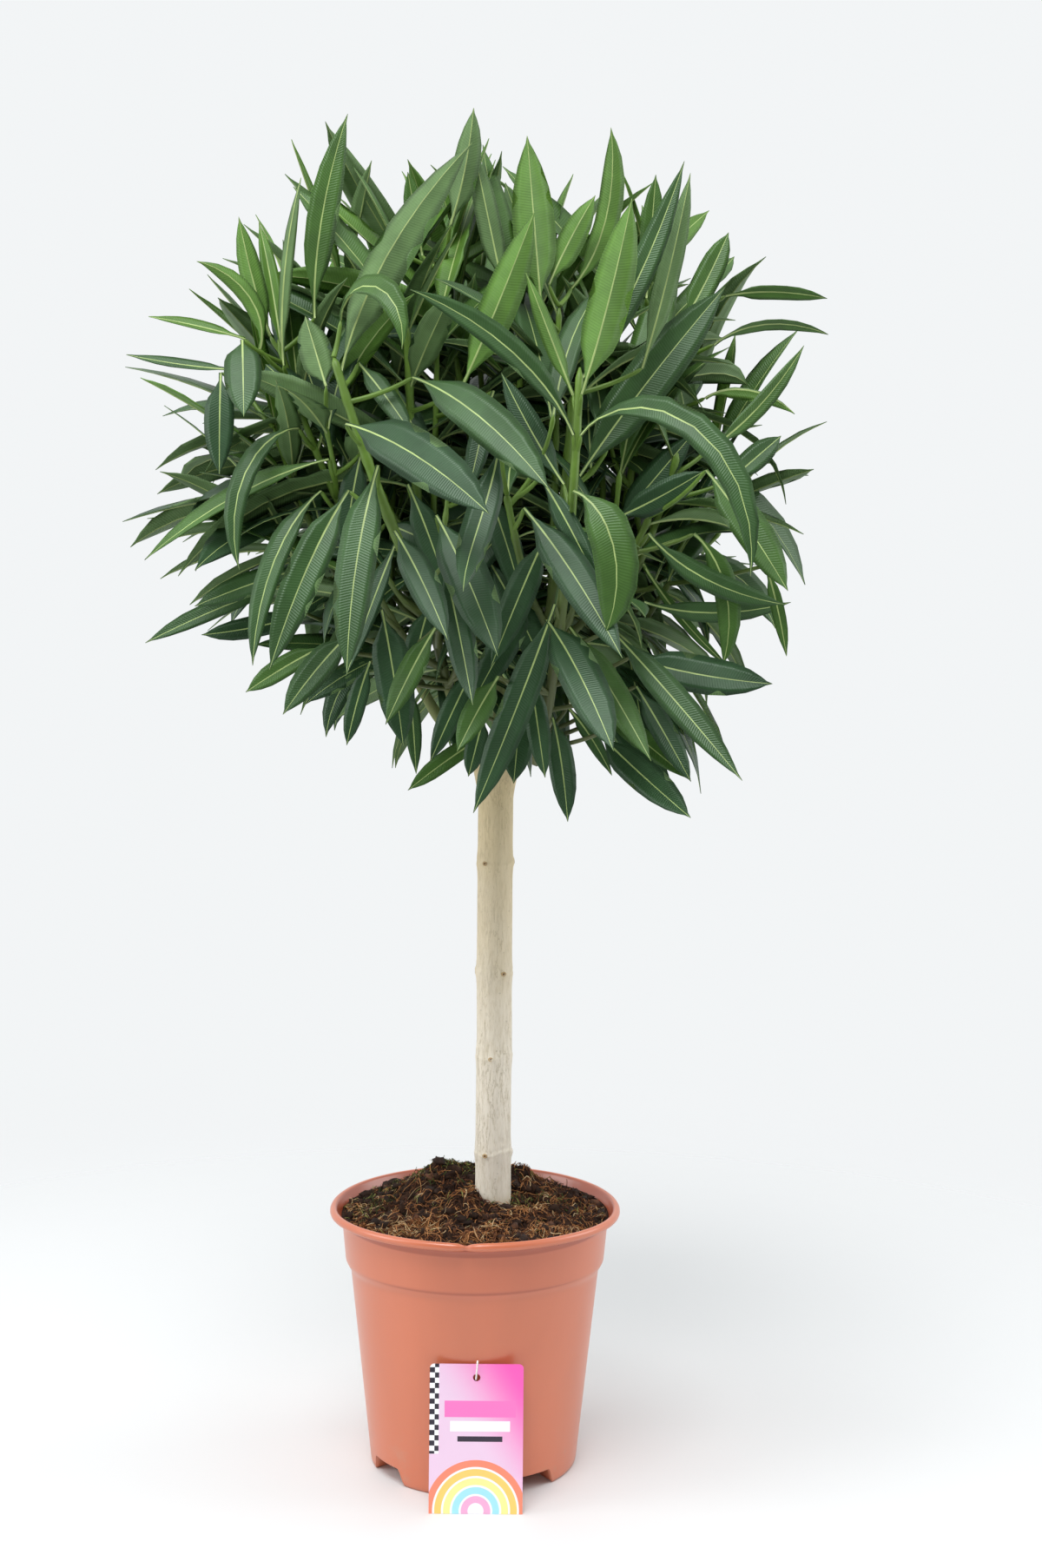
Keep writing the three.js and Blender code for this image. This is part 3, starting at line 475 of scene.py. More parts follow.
class Shader:
    """A node material in the making: its Principled shader, its coordinates, and the nodes that feed it."""

    def __init__(self, name, roughness=0.5, **constants):
        self.material = bpy.data.materials.new(name)
        self.material.use_nodes = True
        self.tree = self.material.node_tree
        self.surface = self.tree.nodes["Principled BSDF"]
        self.surface.inputs["Roughness"].default_value = roughness
        for key, value in constants.items():
            self.surface.inputs[key.replace("_", " ")].default_value = value
        self.place = self.node("ShaderNodeTexCoord", output="Object")

    def node(self, kind, settings=None, values=None, output=0):
        """Adds any node: its settings first, then the numbers, colours or links of its sockets."""
        made = self.tree.nodes.new(kind)
        for key, value in (settings or {}).items():
            setattr(made, key, value)
        for key, value in (values or {}).items():
            if isinstance(value, Signal):
                self.tree.links.new(value.socket, made.inputs[key])
            else:
                made.inputs[key].default_value = value
        return Signal(self, made.outputs[output])

    def feed(self, name, signal):
        self.tree.links.new(signal.socket, self.surface.inputs[name])

    def axes(self, vector=None):
        """The three numbers of a vector, by default of the place in metres."""
        split = self.node("ShaderNodeSeparateXYZ", values={0: vector or self.place}).socket.node
        return [Signal(self, out) for out in split.outputs]

    def vector(self, x, y, z=0.0):
        return self.node("ShaderNodeCombineXYZ", values={0: x, 1: y, 2: z})

    def stretched(self, scale):
        values = {"Vector": self.place, "Scale": scale}
        return self.node("ShaderNodeMapping", {"vector_type": "POINT"}, values)

    def noise(self, scale, detail=3.0, vector=None, roughness=0.55, distortion=0.0):
        values = {
            "Vector": vector or self.place, "Scale": scale, "Detail": detail, "Roughness": roughness,
            "Distortion": distortion,
        }
        return self.node("ShaderNodeTexNoise", values=values)

    def cells(self, scale, vector=None, feature="F1"):
        values = {"Vector": vector or self.place, "Scale": scale}
        return self.node("ShaderNodeTexVoronoi", {"feature": feature}, values)

    def mix(self, share, first, second, blend="MIX"):
        """A colour between two others."""
        settings = {"data_type": "RGBA", "blend_type": blend}
        made = self.node("ShaderNodeMix", settings, output="Result").socket.node
        sockets = {0: share, 6: colour4(first), 7: colour4(second)}
        for index, value in sockets.items():
            if isinstance(value, Signal):
                self.tree.links.new(value.socket, made.inputs[index])
            else:
                made.inputs[index].default_value = value
        return Signal(self, made.outputs[2])

    def bump(self, height, strength, distance, under=None):
        """A normal that follows a height in metres times distance."""
        values = {"Height": height, "Strength": strength, "Distance": distance}
        if under is not None:
            values["Normal"] = under
        return self.node("ShaderNodeBump", values=values)


def colour4(value):
    """A colour of three numbers with its fourth, or a signal as it is."""
    if isinstance(value, Signal):
        return value
    return (*tuple(value)[:3], 1.0)


def shade(colour, factor):
    """A colour made darker or lighter by a factor."""
    return tuple(min(1.0, c * factor) for c in tuple(colour)[:3])


def plastic_material(colour):
    """Coloured plastic with a soft sheen: faint flow marks from the mould, scuffs and a little dust near the
    foot, and painted shade that darkens its inner wall."""
    shader = Shader("terracotta_plastic", 0.35, Specular_IOR_Level=0.9)
    x, y, z = shader.axes()
    flow = shader.noise(9.0, 4.0, shader.stretched((1.0, 1.0, 0.35)), 0.5, 0.6)
    speck = shader.noise(900.0, 2.0)
    tone = shader.mix(flow.step(0.3, 0.72), shade(colour, 0.93), shade(colour, 1.05))
    # Painted shade: the inner wall, inside the bore, is mixed towards a dark red.
    bore = 0.0905 + (z - 0.147) * 0.087 + z.step(0.174, 0.181) * 0.0045
    painted_shade_inside = (1 - ((x * x + y * y) ** 0.5 - bore).step(-0.0004, 0.0004)) * z.step(0.147, 0.149)
    tone = shader.mix(painted_shade_inside * 0.85, tone, (0.38, 0.070, 0.026))
    dust = shader.noise(60.0, 5.0).step(0.52, 0.75) * (1 - z.step(0.0, 0.05)) * 0.35
    tone = shader.mix(dust, tone, (0.42, 0.30, 0.22))
    scratch = shader.noise(70.0, 2.0, shader.stretched((1.0, 1.0, 9.0))).step(0.66, 0.8)
    shader.feed("Base Color", tone)
    shader.feed("Roughness", 0.24 + flow * 0.12 + scratch * 0.08 + dust * 0.4)
    grain = shader.bump(speck, 0.06, 0.0004)
    shader.feed("Normal", shader.bump(flow, 0.12, 0.002, grain))
    return shader.material


def peat_material(colour):
    """Damp peat: near-black to red-brown crumbs, with a fine rough relief."""
    shader = Shader("peat", 0.95, Specular_IOR_Level=0.2)
    patches = shader.noise(45.0, 6.0, None, 0.65)
    grains = shader.noise(420.0, 4.0, None, 0.7)
    tone = shader.mix(patches.step(0.36, 0.66), shade(colour, 0.3), colour)
    tone = shader.mix(grains.step(0.5, 0.75) * 0.7, tone, shade(colour, 2.1))
    shader.feed("Base Color", tone)
    shader.feed("Normal", shader.bump(grains + patches * 0.6, 0.9, 0.0012))
    return shader.material


def fibre_material(name, colour, other):
    """Plant fibre: one colour passing into another from strand to strand."""
    shader = Shader(name, 0.8, Specular_IOR_Level=0.25)
    drift = shader.noise(130.0, 3.0)
    shader.feed("Base Color", shader.mix(drift.step(0.38, 0.62), colour, other))
    return shader.material


def bark_material(name, low, high, crack):
    """Smooth young bark that darkens towards the crown, with fine upright cracks and small brown flecks."""
    shader = Shader(name, 0.78, Specular_IOR_Level=0.3)
    _, _, z = shader.axes()
    upright = shader.stretched((1.0, 1.0, 0.16))
    streak = shader.noise(330.0, 5.0, upright, 0.62, 0.35)
    fine = shader.noise(900.0, 3.0, upright, 0.6)
    blotch = shader.noise(32.0, 4.0, shader.stretched((1.0, 1.0, 0.5)), 0.6)
    wide = shader.noise(70.0, 2.0, shader.stretched((1.0, 1.0, 0.3)))
    tone = shader.mix((z + (blotch - 0.5) * 0.12).step(0.24, 0.5), low, high)
    tone = shader.mix(blotch.step(0.56, 0.74) * 0.5, tone, shade(high, 0.86))
    tone = shader.mix(fine.step(0.45, 0.72) * 0.35, tone, shade(high, 0.8))
    lines = (streak - 0.5).abs().step(0.0, 0.03)
    tone = shader.mix((1 - lines) * wide.step(0.36, 0.62) * 0.55, tone, crack)
    flecks = 1 - shader.cells(120.0, shader.stretched((1.0, 1.0, 1.4))).step(0.06, 0.13)
    tone = shader.mix(flecks * 0.35, tone, shade(crack, 0.8))
    stain = (1 - (z + (fine - 0.5) * 0.02).step(0.182, 0.196)) * 0.6
    tone = shader.mix(stain, tone, (0.50, 0.36, 0.16))
    shader.feed("Base Color", tone)
    relief = lines * 0.5 + fine * 0.35 + streak * 0.3
    shader.feed("Normal", shader.bump(relief, 0.55, 0.0005))
    return shader.material


def leaf_material(name, colour, roughness, sheen):
    """One side of a leaf: fine parallel veins that run out from the midrib, a slightly uneven green and a
    wax sheen. The blade's own map holds the share across it, from 0 to 1, and the millimetres along it over
    100."""
    shader = Shader(name, roughness, Specular_IOR_Level=sheen, Specular_Tint=(0.84, 1.0, 0.88, 1.0))
    across, along, _ = shader.axes(shader.node("ShaderNodeUVMap", {"uv_map": "blade"}))
    off = (across - 0.5).abs()
    veins = ((along * 100 - off * 9.0) * 3.6).sin() * 0.5 + 0.5
    drift = shader.noise(38.0, 3.0)
    tone = shader.mix(drift.step(0.35, 0.68), shade(colour, 0.86), shade(colour, 1.16))
    tone = shader.mix((veins**4.0) * 0.16, tone, shade(colour, 1.9))
    tone = shader.mix(off.step(0.45, 0.5) * 0.4, tone, shade(colour, 2.0))
    shader.feed("Base Color", tone)
    shader.feed("Normal", shader.bump(veins + drift * 0.4, 0.35, 0.0003))
    return shader.material


def plain_material(name, colour, roughness, low=None):
    """A midrib, green stem, scar or the label's loop: one colour, a little uneven. A stem is darker low
    down."""
    shader = Shader(name, roughness, Specular_IOR_Level=0.4)
    drift = shader.noise(55.0, 3.0)
    tone = shader.mix(drift.step(0.35, 0.65), shade(colour, 0.85), shade(colour, 1.12))
    if low is not None:
        _, _, z = shader.axes()
        tone = shader.mix(z.step(0.56, 0.70), colour4(low), tone)
    shader.feed("Base Color", tone)
    shader.feed("Normal", shader.bump(drift, 0.1, 0.0005))
    return shader.material


# ---------------------------------------------------------------- pot


def pot_radius(z):
    """The outer wall's radius at a height: straight up to the shoulder, a small step out, and the upright
    collar."""
    collar_low, collar_high = POT["collar"]
    step, narrow = POT["shoulder"]
    heights = [0.0, 1.0, 2.6, step - 0.4, step + 2.2, step + 5.2, collar_low[0] + 0.6, collar_high[0]]
    radii = [
        POT["foot"] - 1.6, POT["foot"] - 0.5, POT["foot"], narrow, narrow + 0.9, narrow + 2.9, collar_low[1],
        collar_high[1],
    ]
    return np.interp(z, heights, radii)


def channel_depth(x, y):
    """How high the underside is at a place: 0 on the feet, and the floor's height along the four slanted
    channels."""
    depth = np.zeros(np.broadcast(x, y).shape)
    for i in range(CHANNELS["count"]):
        a = math.radians(CHANNELS["first"] + 360 / CHANNELS["count"] * i)
        along = x * math.cos(a) + y * math.sin(a)
        off = np.abs(y * math.cos(a) - x * math.sin(a))
        slope = (CHANNELS["width"] - CHANNELS["top"]) / 2
        rise = smooth((CHANNELS["width"] / 2 - off) / slope, 0.0, 1.0)
        outer = smooth(along, CHANNELS["inner"] - 2, CHANNELS["inner"] + 4)
        depth = np.maximum(depth, POT["floor"][0] * rise * outer)
    return depth


def lip_notch(azimuth, width):
    """A short V dent where the rolled lip's two ends meet, at the front."""
    away = (azimuth - math.radians(267.5) + math.pi) % (2 * math.pi) - math.pi
    return np.exp(-np.abs(away * POT["lip"] / width))


def pulled_up(x, y, z):
    """How far the soft pot's front is pulled up at a place: nothing at its foot and back, all of it at its
    lip."""
    return LIP_PULL * smooth(-y / POT["lip"], 0.0, 1.0) * smooth(z, 50.0, 140.0)


def build_pot(settings, material):
    """The pot as one closed surface of azimuth and profile: along its inner floor, up its inner wall and
    the flare under the lip, round the thin rolled lip, down the outer wall to the wavy foot, and along the
    underside."""
    columns = 360
    azimuth = np.linspace(0, 2 * np.pi, columns, endpoint=False)[None, :]
    lip, wall, height = POT["lip"], POT["wall"], POT["height"]
    step = POT["shoulder"][0]
    inner_floor = np.linspace(2, POT["foot"] - wall, 5)
    inner_heights = [POT["floor"][1] + 0.6, 60, 100, step - 1, step + 2, step + 5, step + 8, 156, 165, 172]
    flare = ((92.6, 175.0), (93.9, 177.4), (95.4, 179.6))
    under_lip = ((96.6, 178.0), (95.0, 177.2), (93.9, 176.2))
    rows = [(np.full(columns, r), np.full(columns, POT["floor"][1])) for r in inner_floor]
    rows += [(np.full(columns, pot_radius(z) - wall), np.full(columns, float(z))) for z in inner_heights]
    rows += [(np.full(columns, r), np.full(columns, z)) for r, z in flare]
    roll, tall = 2.7, 2.9
    turn = np.radians(np.array([165.0, 145, 125, 105, 85, 65, 42, 18, -8, -34, -60, -84, -105]))
    dent = lip_notch(azimuth[0], settings.notch_width) * settings.notch_depth
    for a in turn:
        out = lip - roll + roll * math.cos(a) - dent * (0.6 + 0.4 * math.cos(a))
        rows.append((out, height - tall + tall * math.sin(a) - 0.7 * dent * max(0.0, math.sin(a))))
    rows += [(np.full(columns, r), np.full(columns, z)) for r, z in under_lip]
    outer_heights = [174, 170, 160, 153]
    outer_heights += [step + up for up in (8.6, 7.4, 6.2, 4.6, 2.8, 1.4, 0, -2)] + [110, 85, 60, 40, 26]
    rows += [(np.full(columns, pot_radius(z)), np.full(columns, float(z))) for z in outer_heights]
    edge = channel_depth(POT["foot"] * np.cos(azimuth[0]), POT["foot"] * np.sin(azimuth[0]))
    for share in (0.75, 0.5, 0.25, 0.1, 0.0):
        z = edge + (16 - edge) * share
        rows.append((pot_radius(z), z))
    for r in (POT["foot"] - 3.5, 66, 60, 52, 44, 36, 30, 27, 24, 21, 12, 4):
        z = channel_depth(r * np.cos(azimuth[0]), r * np.sin(azimuth[0]))
        rows.append((np.full(columns, float(r)), z))
    radius = np.array([r for r, _ in rows])
    z = np.array([z for _, z in rows])
    radius = radius * (1 + 0.0011 * np.sin(2 * azimuth + 0.6) * smooth(z, 60, 184))
    x, y = radius * np.cos(azimuth), radius * np.sin(azimuth)
    rings = xyz(x, y, z + pulled_up(x, y, z))
    points, quads, tris = closed_tube(rings[::-1])
    pot = make_piece("nursery_pot", points * MM, quads, tris, [material])
    seat(pot, "pot", "pot")


# ---------------------------------------------------------------- soil


def soil_height(x, y):
    """The height of the peat at a place: the CAD model's heaps and swells, with finer lumps added."""
    total = 0.0
    for hx, hy, height, spread in SOIL_HEAPS:
        total = total + height * np.exp(-((x - hx) ** 2 + (y - hy) ** 2) / spread**2)
    limit = POT["collar"][1][1] - POT["wall"]
    inside = 1 - np.clip(np.hypot(x, y) / limit, 0, 1) ** 6
    swells = 1.6 * np.sin(0.21 * x + 1.3) * np.cos(0.17 * y - 0.4) + 1.1 * np.sin(0.11 * x - 0.36 * y)
    banked = 9.0 * np.exp(-((x + 2) ** 2 + (y + 11) ** 2) / 13**2)
    return SOIL_EDGE + inside * (total + swells + banked) + pulled_up(x, y, SOIL_EDGE)


def soil_relief(x, y):
    """Crumbly relief in millimetres, from noise at four scales."""
    place = xyz(x, y, 0)
    return 2.6 * fractal(place / 13, 2, 3) + 1.5 * fractal(place / 4.2, 3, 9, 0.6) - 0.8


def scattered(count, rng, spread=None):
    """Places on the peat inside the pot's wall and clear of the trunk."""
    limit = POT["collar"][1][1] - 1.8
    radius = limit * np.sqrt(rng.random(4 * count))
    azimuth = 2 * np.pi * rng.random(4 * count)
    x, y = radius * np.cos(azimuth), radius * np.sin(azimuth)
    if spread is not None:
        keep = rng.random(len(x)) < spread(x, y)
        x, y = x[keep], y[keep]
    clear = np.hypot(x - TRUNK["x"], y - TRUNK["y"]) > TRUNK["radius"] + 2
    return x[clear][:count], y[clear][:count]


def build_soil(material):
    """The peat's top as a height over azimuth and radius, closed by a skirt and a flat bottom inside the
    pot."""
    columns, rows = 300, 90
    azimuth = np.linspace(0, 2 * np.pi, columns, endpoint=False)[None, :]
    edge = POT["collar"][1][1] + 0.4
    radius = edge * np.linspace(1, 0.01, rows)[:, None]
    x, y = radius * np.cos(azimuth), radius * np.sin(azimuth)
    calm = 1 - np.clip(radius / edge, 0, 1) ** 24
    top = xyz(x, y, soil_height(x, y) + soil_relief(x, y) * calm)
    skirt = [(edge - 2.3, SOIL_EDGE - 5), (edge - 3.4, 158.0)]
    low = [xyz(r * np.cos(azimuth[0]), r * np.sin(azimuth[0]), z) for r, z in skirt]
    rings = np.vstack([low[1][None], low[0][None], top])
    points, quads, tris = closed_tube(rings)
    soil = make_piece("peat_surface", points * MM, quads, tris, [material])
    seat(soil, "soil", "soil")


def lump_shape():
    """A rough ball of 26 points: a small grid of azimuth and height closed at its poles."""
    azimuth = np.linspace(0, 2 * np.pi, 7, endpoint=False)[None, :]
    level = np.radians(np.array([-55.0, -20, 18, 54]))[:, None]
    rings = xyz(np.cos(level) * np.cos(azimuth), np.cos(level) * np.sin(azimuth), np.sin(level))
    return closed_tube(rings)


def build_crumbs(settings, materials):
    """Loose crumbs of peat and bark: rough balls, squashed, turned and dented by noise, half sunk in the
    surface."""
    rng = np.random.default_rng(21)
    x, y = scattered(settings.crumbs, rng)
    count = len(x)
    shape, quads, tris = lump_shape()
    size = 0.7 + 3.0 * rng.random(count) ** 3.4
    inward = np.minimum(1, (POT["collar"][1][1] - 1.4 - 1.25 * size) / np.hypot(x, y))
    x, y = x * inward, y * inward
    stretch = size[:, None] * (0.6 + 0.8 * rng.random((count, 3))) * np.array([1.15, 1.15, 0.8])
    dents = 1 + 0.7 * value_noise(shape[None] * 1.9 + rng.random((count, 1, 3)) * 40, 5)
    body = shape[None] * dents[..., None] * stretch[:, None]
    body = turned(body, rng.random(count) * 2 * np.pi, rng.normal(0, 0.5, count))
    z = soil_height(x, y) + soil_relief(x, y) + size * 0.05
    body = body + xyz(x, y, z)[:, None]
    joined = Joined()
    slots = rng.choice(len(materials), count, p=[0.35, 0.5, 0.15])
    joined.add_copies(body, quads, tris, slots, slots)
    crumbs = joined.piece("peat_crumbs", materials)
    seat(crumbs, "soil")


def turned(bodies, azimuth, tilt):
    """Each body tilted about X and then turned about Z."""
    c, s = np.cos(tilt)[:, None], np.sin(tilt)[:, None]
    x, y, z = bodies[..., 0], bodies[..., 1] * c - bodies[..., 2] * s, bodies[..., 1] * s + bodies[..., 2] * c
    c, s = np.cos(azimuth)[:, None], np.sin(azimuth)[:, None]
    return xyz(x * c - y * s, x * s + y * c, z)


def strands(joined, rng, places, lengths, radius, lift, curl, slots, arch=0.0, steps=7, combed=0.0):
    """Thin, curved strands on the peat: a path that turns steadily, rises and falls, and a three-sided
    section. Where combed is over zero, neighbours lie more nearly along one another, by a slow noise."""
    x, y = places
    count = len(x)
    t = np.linspace(0, 1, steps)[None, :]
    grain = 2.6 * value_noise(xyz(x, y, 0) / 24, 17)
    loose = (rng.random(count) - 0.5) * 2 * np.pi * (1 - combed)
    heading = (grain + loose)[:, None] + rng.normal(0, curl, count)[:, None] * (t - 0.5)
    step = lengths[:, None] / (steps - 1)
    half = lengths[:, None] * 0.5
    px = x[:, None] + np.cumsum(np.cos(heading) * step, axis=1) - half * np.cos(heading[:, :1])
    py = y[:, None] + np.cumsum(np.sin(heading) * step, axis=1) - half * np.sin(heading[:, :1])
    limit = POT["collar"][1][1] - 1.2
    pull = np.minimum(1, limit / np.maximum(np.hypot(px, py), 1e-6))
    px, py = px * pull, py * pull
    ground = soil_height(px, py) + soil_relief(px, py)
    high = ground + lift * (0.3 + rng.random(count)[:, None])
    high = high + arch * rng.random(count)[:, None] * np.sin(np.pi * t)
    high = high + rng.normal(0, 0.3, (count, 1)) + rng.normal(0, 1.0, (count, 1)) * (t - 0.5) * lift * 3
    path = xyz(px, py, high)
    forward = unit(np.gradient(path, axis=1))
    side = unit(np.cross(np.broadcast_to(UP, forward.shape), forward))
    up = np.cross(forward, side)
    angle = 2 * np.pi * np.arange(3) / 3
    thick = (radius * (0.6 + 0.8 * rng.random(count))[:, None] * (1 - 0.75 * t**2))[..., None, None]
    ring = side[:, :, None] * np.cos(angle)[:, None] + up[:, :, None] * np.sin(angle)[:, None]
    rings = path[:, :, None] + thick * ring
    bodies = rings.reshape(count, steps * 3, 3)
    ends = np.stack([rings[:, 0].mean(1), rings[:, -1].mean(1)], axis=1)
    bodies = np.concatenate([bodies, ends], axis=1)
    joined.add_copies(bodies, grid_quads(steps, 3, closed=True), cap_fans(steps, 3), slots, slots)


def tangled(x, y):
    """The share of places that keep a strand of coir: tufts by a slow noise, and more of them towards the
    front."""
    tufts = smooth(value_noise(xyz(x, y, 0) / 15, 31), -0.05, 0.4)
    return (0.12 + 0.88 * tufts) * (0.35 + 0.65 * smooth(-y, -30.0, 25.0))


def mossy(x, y):
    """The share of places that keep a strand of moss: beds at the back, on the left and right of the
    trunk."""
    beds = ((-30, 46, 34, 22, 1.0), (31, -4, 10, 12, 0.9), (-72, 2, 12, 26, 0.6), (62, 8, 22, 12, 0.35))
    heaped = 0.0
    for bx, by, wide, deep, much in beds:
        heaped = heaped + much * np.exp(-(((x - bx) / wide) ** 2 + ((y - by) / deep) ** 2))
    return 0.03 + heaped


def build_fibres(settings, materials):
    """Roots, coir and straw that lie tangled over the peat, with green moss at the back and beside the
    trunk."""
    rng = np.random.default_rng(8)
    joined = Joined()
    fuzz = scattered(settings.fibres * 4, rng)
    count = len(fuzz[0])
    lengths = 2 + 7 * rng.random(count) ** 1.6
    kinds = rng.choice(3, count, p=[0.7, 0.22, 0.08])
    strands(joined, rng, fuzz, lengths, 0.26, 0.8, 2.4, kinds, 1.2, 4, 0.3)
    shreds = joined.piece("peat_shreds", materials[:3])
    seat(shreds, "soil")
    joined = Joined()
    places = scattered(settings.fibres, rng, tangled)
    count = len(places[0])
    lengths = 5 + 22 * rng.random(count) ** 2
    kinds = 1 + rng.choice(3, count, p=[0.32, 0.5, 0.18])
    strands(joined, rng, places, lengths, 0.3, 1.1, 1.5, kinds, 2.6, combed=0.55)
    places = scattered(settings.moss, rng, mossy)
    count = len(places[0])
    kinds = 4 + rng.choice(2, count, p=[0.65, 0.35])
    strands(joined, rng, places, 2 + 5 * rng.random(count), 0.28, 1.2, 2.5, kinds, 2.2, 5)
    fibres = joined.piece("peat_fibres", materials)
    seat(fibres, "soil")


# ---------------------------------------------------------------- trunk and boughs


def trunk_radius(z):
    """The CAD trunk's radius at a height: even, with a flare at the foot and swellings at the joints and
    the head."""
    joints = sum(0.7 * np.exp(-(((z - at) / 7) ** 2)) for at in TRUNK_JOINTS)
    flare = TRUNK["flare"] * np.exp(-(z - TRUNK["foot"]) / 14)
    swell = HEAD["swell"] * smooth(z, TRUNK["head"] - HEAD["reach"], TRUNK["head"])
    return TRUNK["radius"] + joints + flare + swell


def build_trunk(settings, materials):
    """The trunk as a radius over azimuth and height, with relief: low ridges at each joint, long shallow
    flutes, fine upright cracks, and a dome over its head."""
    columns, rows = 110, 420
    azimuth = np.linspace(0, 2 * np.pi, columns, endpoint=False)[None, :]
    z = np.linspace(TRUNK["foot"], TRUNK["head"], rows)[:, None]
    radius = trunk_radius(z) + 0 * azimuth
    ring = xyz(3 * np.cos(azimuth), 3 * np.sin(azimuth), z / 60)
    radius = radius + 0.28 * fractal(ring, 3, 4)
    fine = xyz(9 * np.cos(azimuth), 9 * np.sin(azimuth), z / 14)
    crack = np.abs(value_noise(fine, 6) + 0.4 * value_noise(fine * 2.1, 7))
    radius = radius - settings.crack_depth * (1 - smooth(crack, 0.0, 0.16))
    for at, bud in zip(TRUNK_JOINTS, BUD_AZIMUTHS):
        wave = at + 1.6 * np.sin(azimuth + at) + 0.9 * np.sin(3 * azimuth + 2 * at)
        radius = radius + 0.2 * np.exp(-(((z - wave) / 1.1) ** 2))
        radius = radius - 0.15 * np.exp(-(((z - wave - 2.6) / 1.2) ** 2))
        for side in BUD_SIDES:
            away = (azimuth - math.radians(bud + side) + np.pi) % (2 * np.pi) - np.pi
            spot = np.hypot(away * TRUNK["radius"], z - at)
            radius = radius + 0.9 * np.exp(-((spot / 2.3) ** 2)) - 1.1 * np.exp(-((spot / 0.8) ** 2))
    dome = np.array([[0.96, 0.35], [0.84, 0.62], [0.62, 0.82], [0.34, 0.95]])
    share, up = dome[:, :1], dome[:, 1:]
    wide = share * radius[-1]
    tops = xyz(wide * np.cos(azimuth), wide * np.sin(azimuth), TRUNK["head"] + HEAD["dome"] * up)
    rings = xyz(radius * np.cos(azimuth), radius * np.sin(azimuth), z)
    rings = np.vstack([rings, tops]) + np.array([TRUNK["x"], TRUNK["y"], 0])
    points, quads, tris = closed_tube(rings)
    trunk = make_piece("trunk_bark", points * MM, quads, tris, [materials["bark"]])
    seat(trunk, "bark", "trunk")
    build_scars(materials)


def build_scars(materials):
    """Corky rings with a dark pit where side shoots were rubbed off, three at each joint."""
    joined = Joined()
    for at, bud in zip(TRUNK_JOINTS, BUD_AZIMUTHS):
        for number, side in enumerate(BUD_SIDES):
            a = math.radians(bud + side)
            out = np.array([math.cos(a), math.sin(a), 0.0])
            across = np.array([-math.sin(a), math.cos(a), 0.0])
            foot = np.array([TRUNK["x"], TRUNK["y"], at]) + out * (trunk_radius(at) + 0.15)
            angle = np.linspace(0, 2 * np.pi, 12, endpoint=False)[:, None]
            ring = across * np.cos(angle) + 0.8 * UP * np.sin(angle)
            rings = [foot + out * high + wide * ring for wide, high in SCAR_RINGS]
            size = 1.0 if number == 0 else 0.7
            rings = foot + (np.array(rings) - foot) * size
            points, quads, tris = closed_tube(rings)
            joined.add(points, quads, tris, 0)
            pit = np.array([rings[-1], rings[-1] + out * 0.05])
            points, quads, tris = closed_tube(pit)
            joined.add(points, quads, tris, 1)
    scars = joined.piece("bud_scars", [materials["scar"], materials["pit"]])
    seat(scars, "bark")


# ---------------------------------------------------------------- the growing rule


def noise_key(a, b, c, d):
    """The rule's repeatable number from -1 to 1: twice the fraction of a large sine of four keys, less
    one."""
    x = np.sin(a * 12.9898 + b * 78.233 + c * 37.719 + d * 94.673 + SEED) * 43758.5453
    return 2 * (x - np.floor(x)) - 1


def place(azimuth, radius, height):
    """A point from its azimuth and radius about the trunk, and its height."""
    a = np.radians(azimuth)
    return np.array([TRUNK["x"] + radius * np.cos(a), TRUNK["y"] + radius * np.sin(a), height])


class Route:
    """A quadratic curve: its point is (1-t)^2 a + 2t(1-t) b + t^2 c, and its way forward is the unit
    derivative."""

    def __init__(self, a, b, c):
        self.a, self.b, self.c = a, b, c
        steps = self.point(np.linspace(0, 1, 201))
        self.length = np.linalg.norm(np.diff(steps, axis=0), axis=1).sum()

    def point(self, t):
        t = np.asarray(t, float)[..., None]
        return (1 - t) ** 2 * self.a + 2 * t * (1 - t) * self.b + t * t * self.c

    def forward(self, t):
        t = np.asarray(t, float)[..., None]
        return unit(2 * (1 - t) * (self.b - self.a) + 2 * t * (self.c - self.b))

    def rest(self, share):
        return Route(self.point(share), lerp(self.b, self.c, share), self.c)

    def across(self):
        """A side that is square to the curve everywhere, because the curve is flat."""
        normal = np.cross(self.b - self.a, self.c - self.b)
        if np.linalg.norm(normal) < 1e-3:
            normal = np.cross(self.c - self.a, [1.0, 0.3, 0.1])
        return unit(normal)


class Twig:
    """One shoot: its route, whorls and girth, and the numbers that key its leaves."""

    def __init__(self, mass, number, values, route):
        self.mass, self.number, self.route = mass, number, route
        _, _, _, _, self.whorls, self.bare, self.girth, self.age = values
        self.size = 1.0
        # shade: years added to the leaves' age for a darker green, as painted shade
        self.shade = 0.0
        self.end = 0.0

    def whorl_at(self, whorl):
        last = 1 - SHOOT["tip"] / self.route.length
        return lerp(self.bare, last, whorl / (self.whorls - 1))

    def girth_at(self, along):
        return self.girth * lerp(1.0, SHOOT["tip_taper"], along)


def shoot_tip(values, azimuth, mass, number):
    _, turn, radius, height = values[:4]
    turn = azimuth + turn + 5 * noise_key(mass, number, 1, 1)
    radius = radius * (1 + 0.05 * noise_key(mass, number, 2, 1))
    return place(turn, radius, height + 9 * noise_key(mass, number, 3, 1))


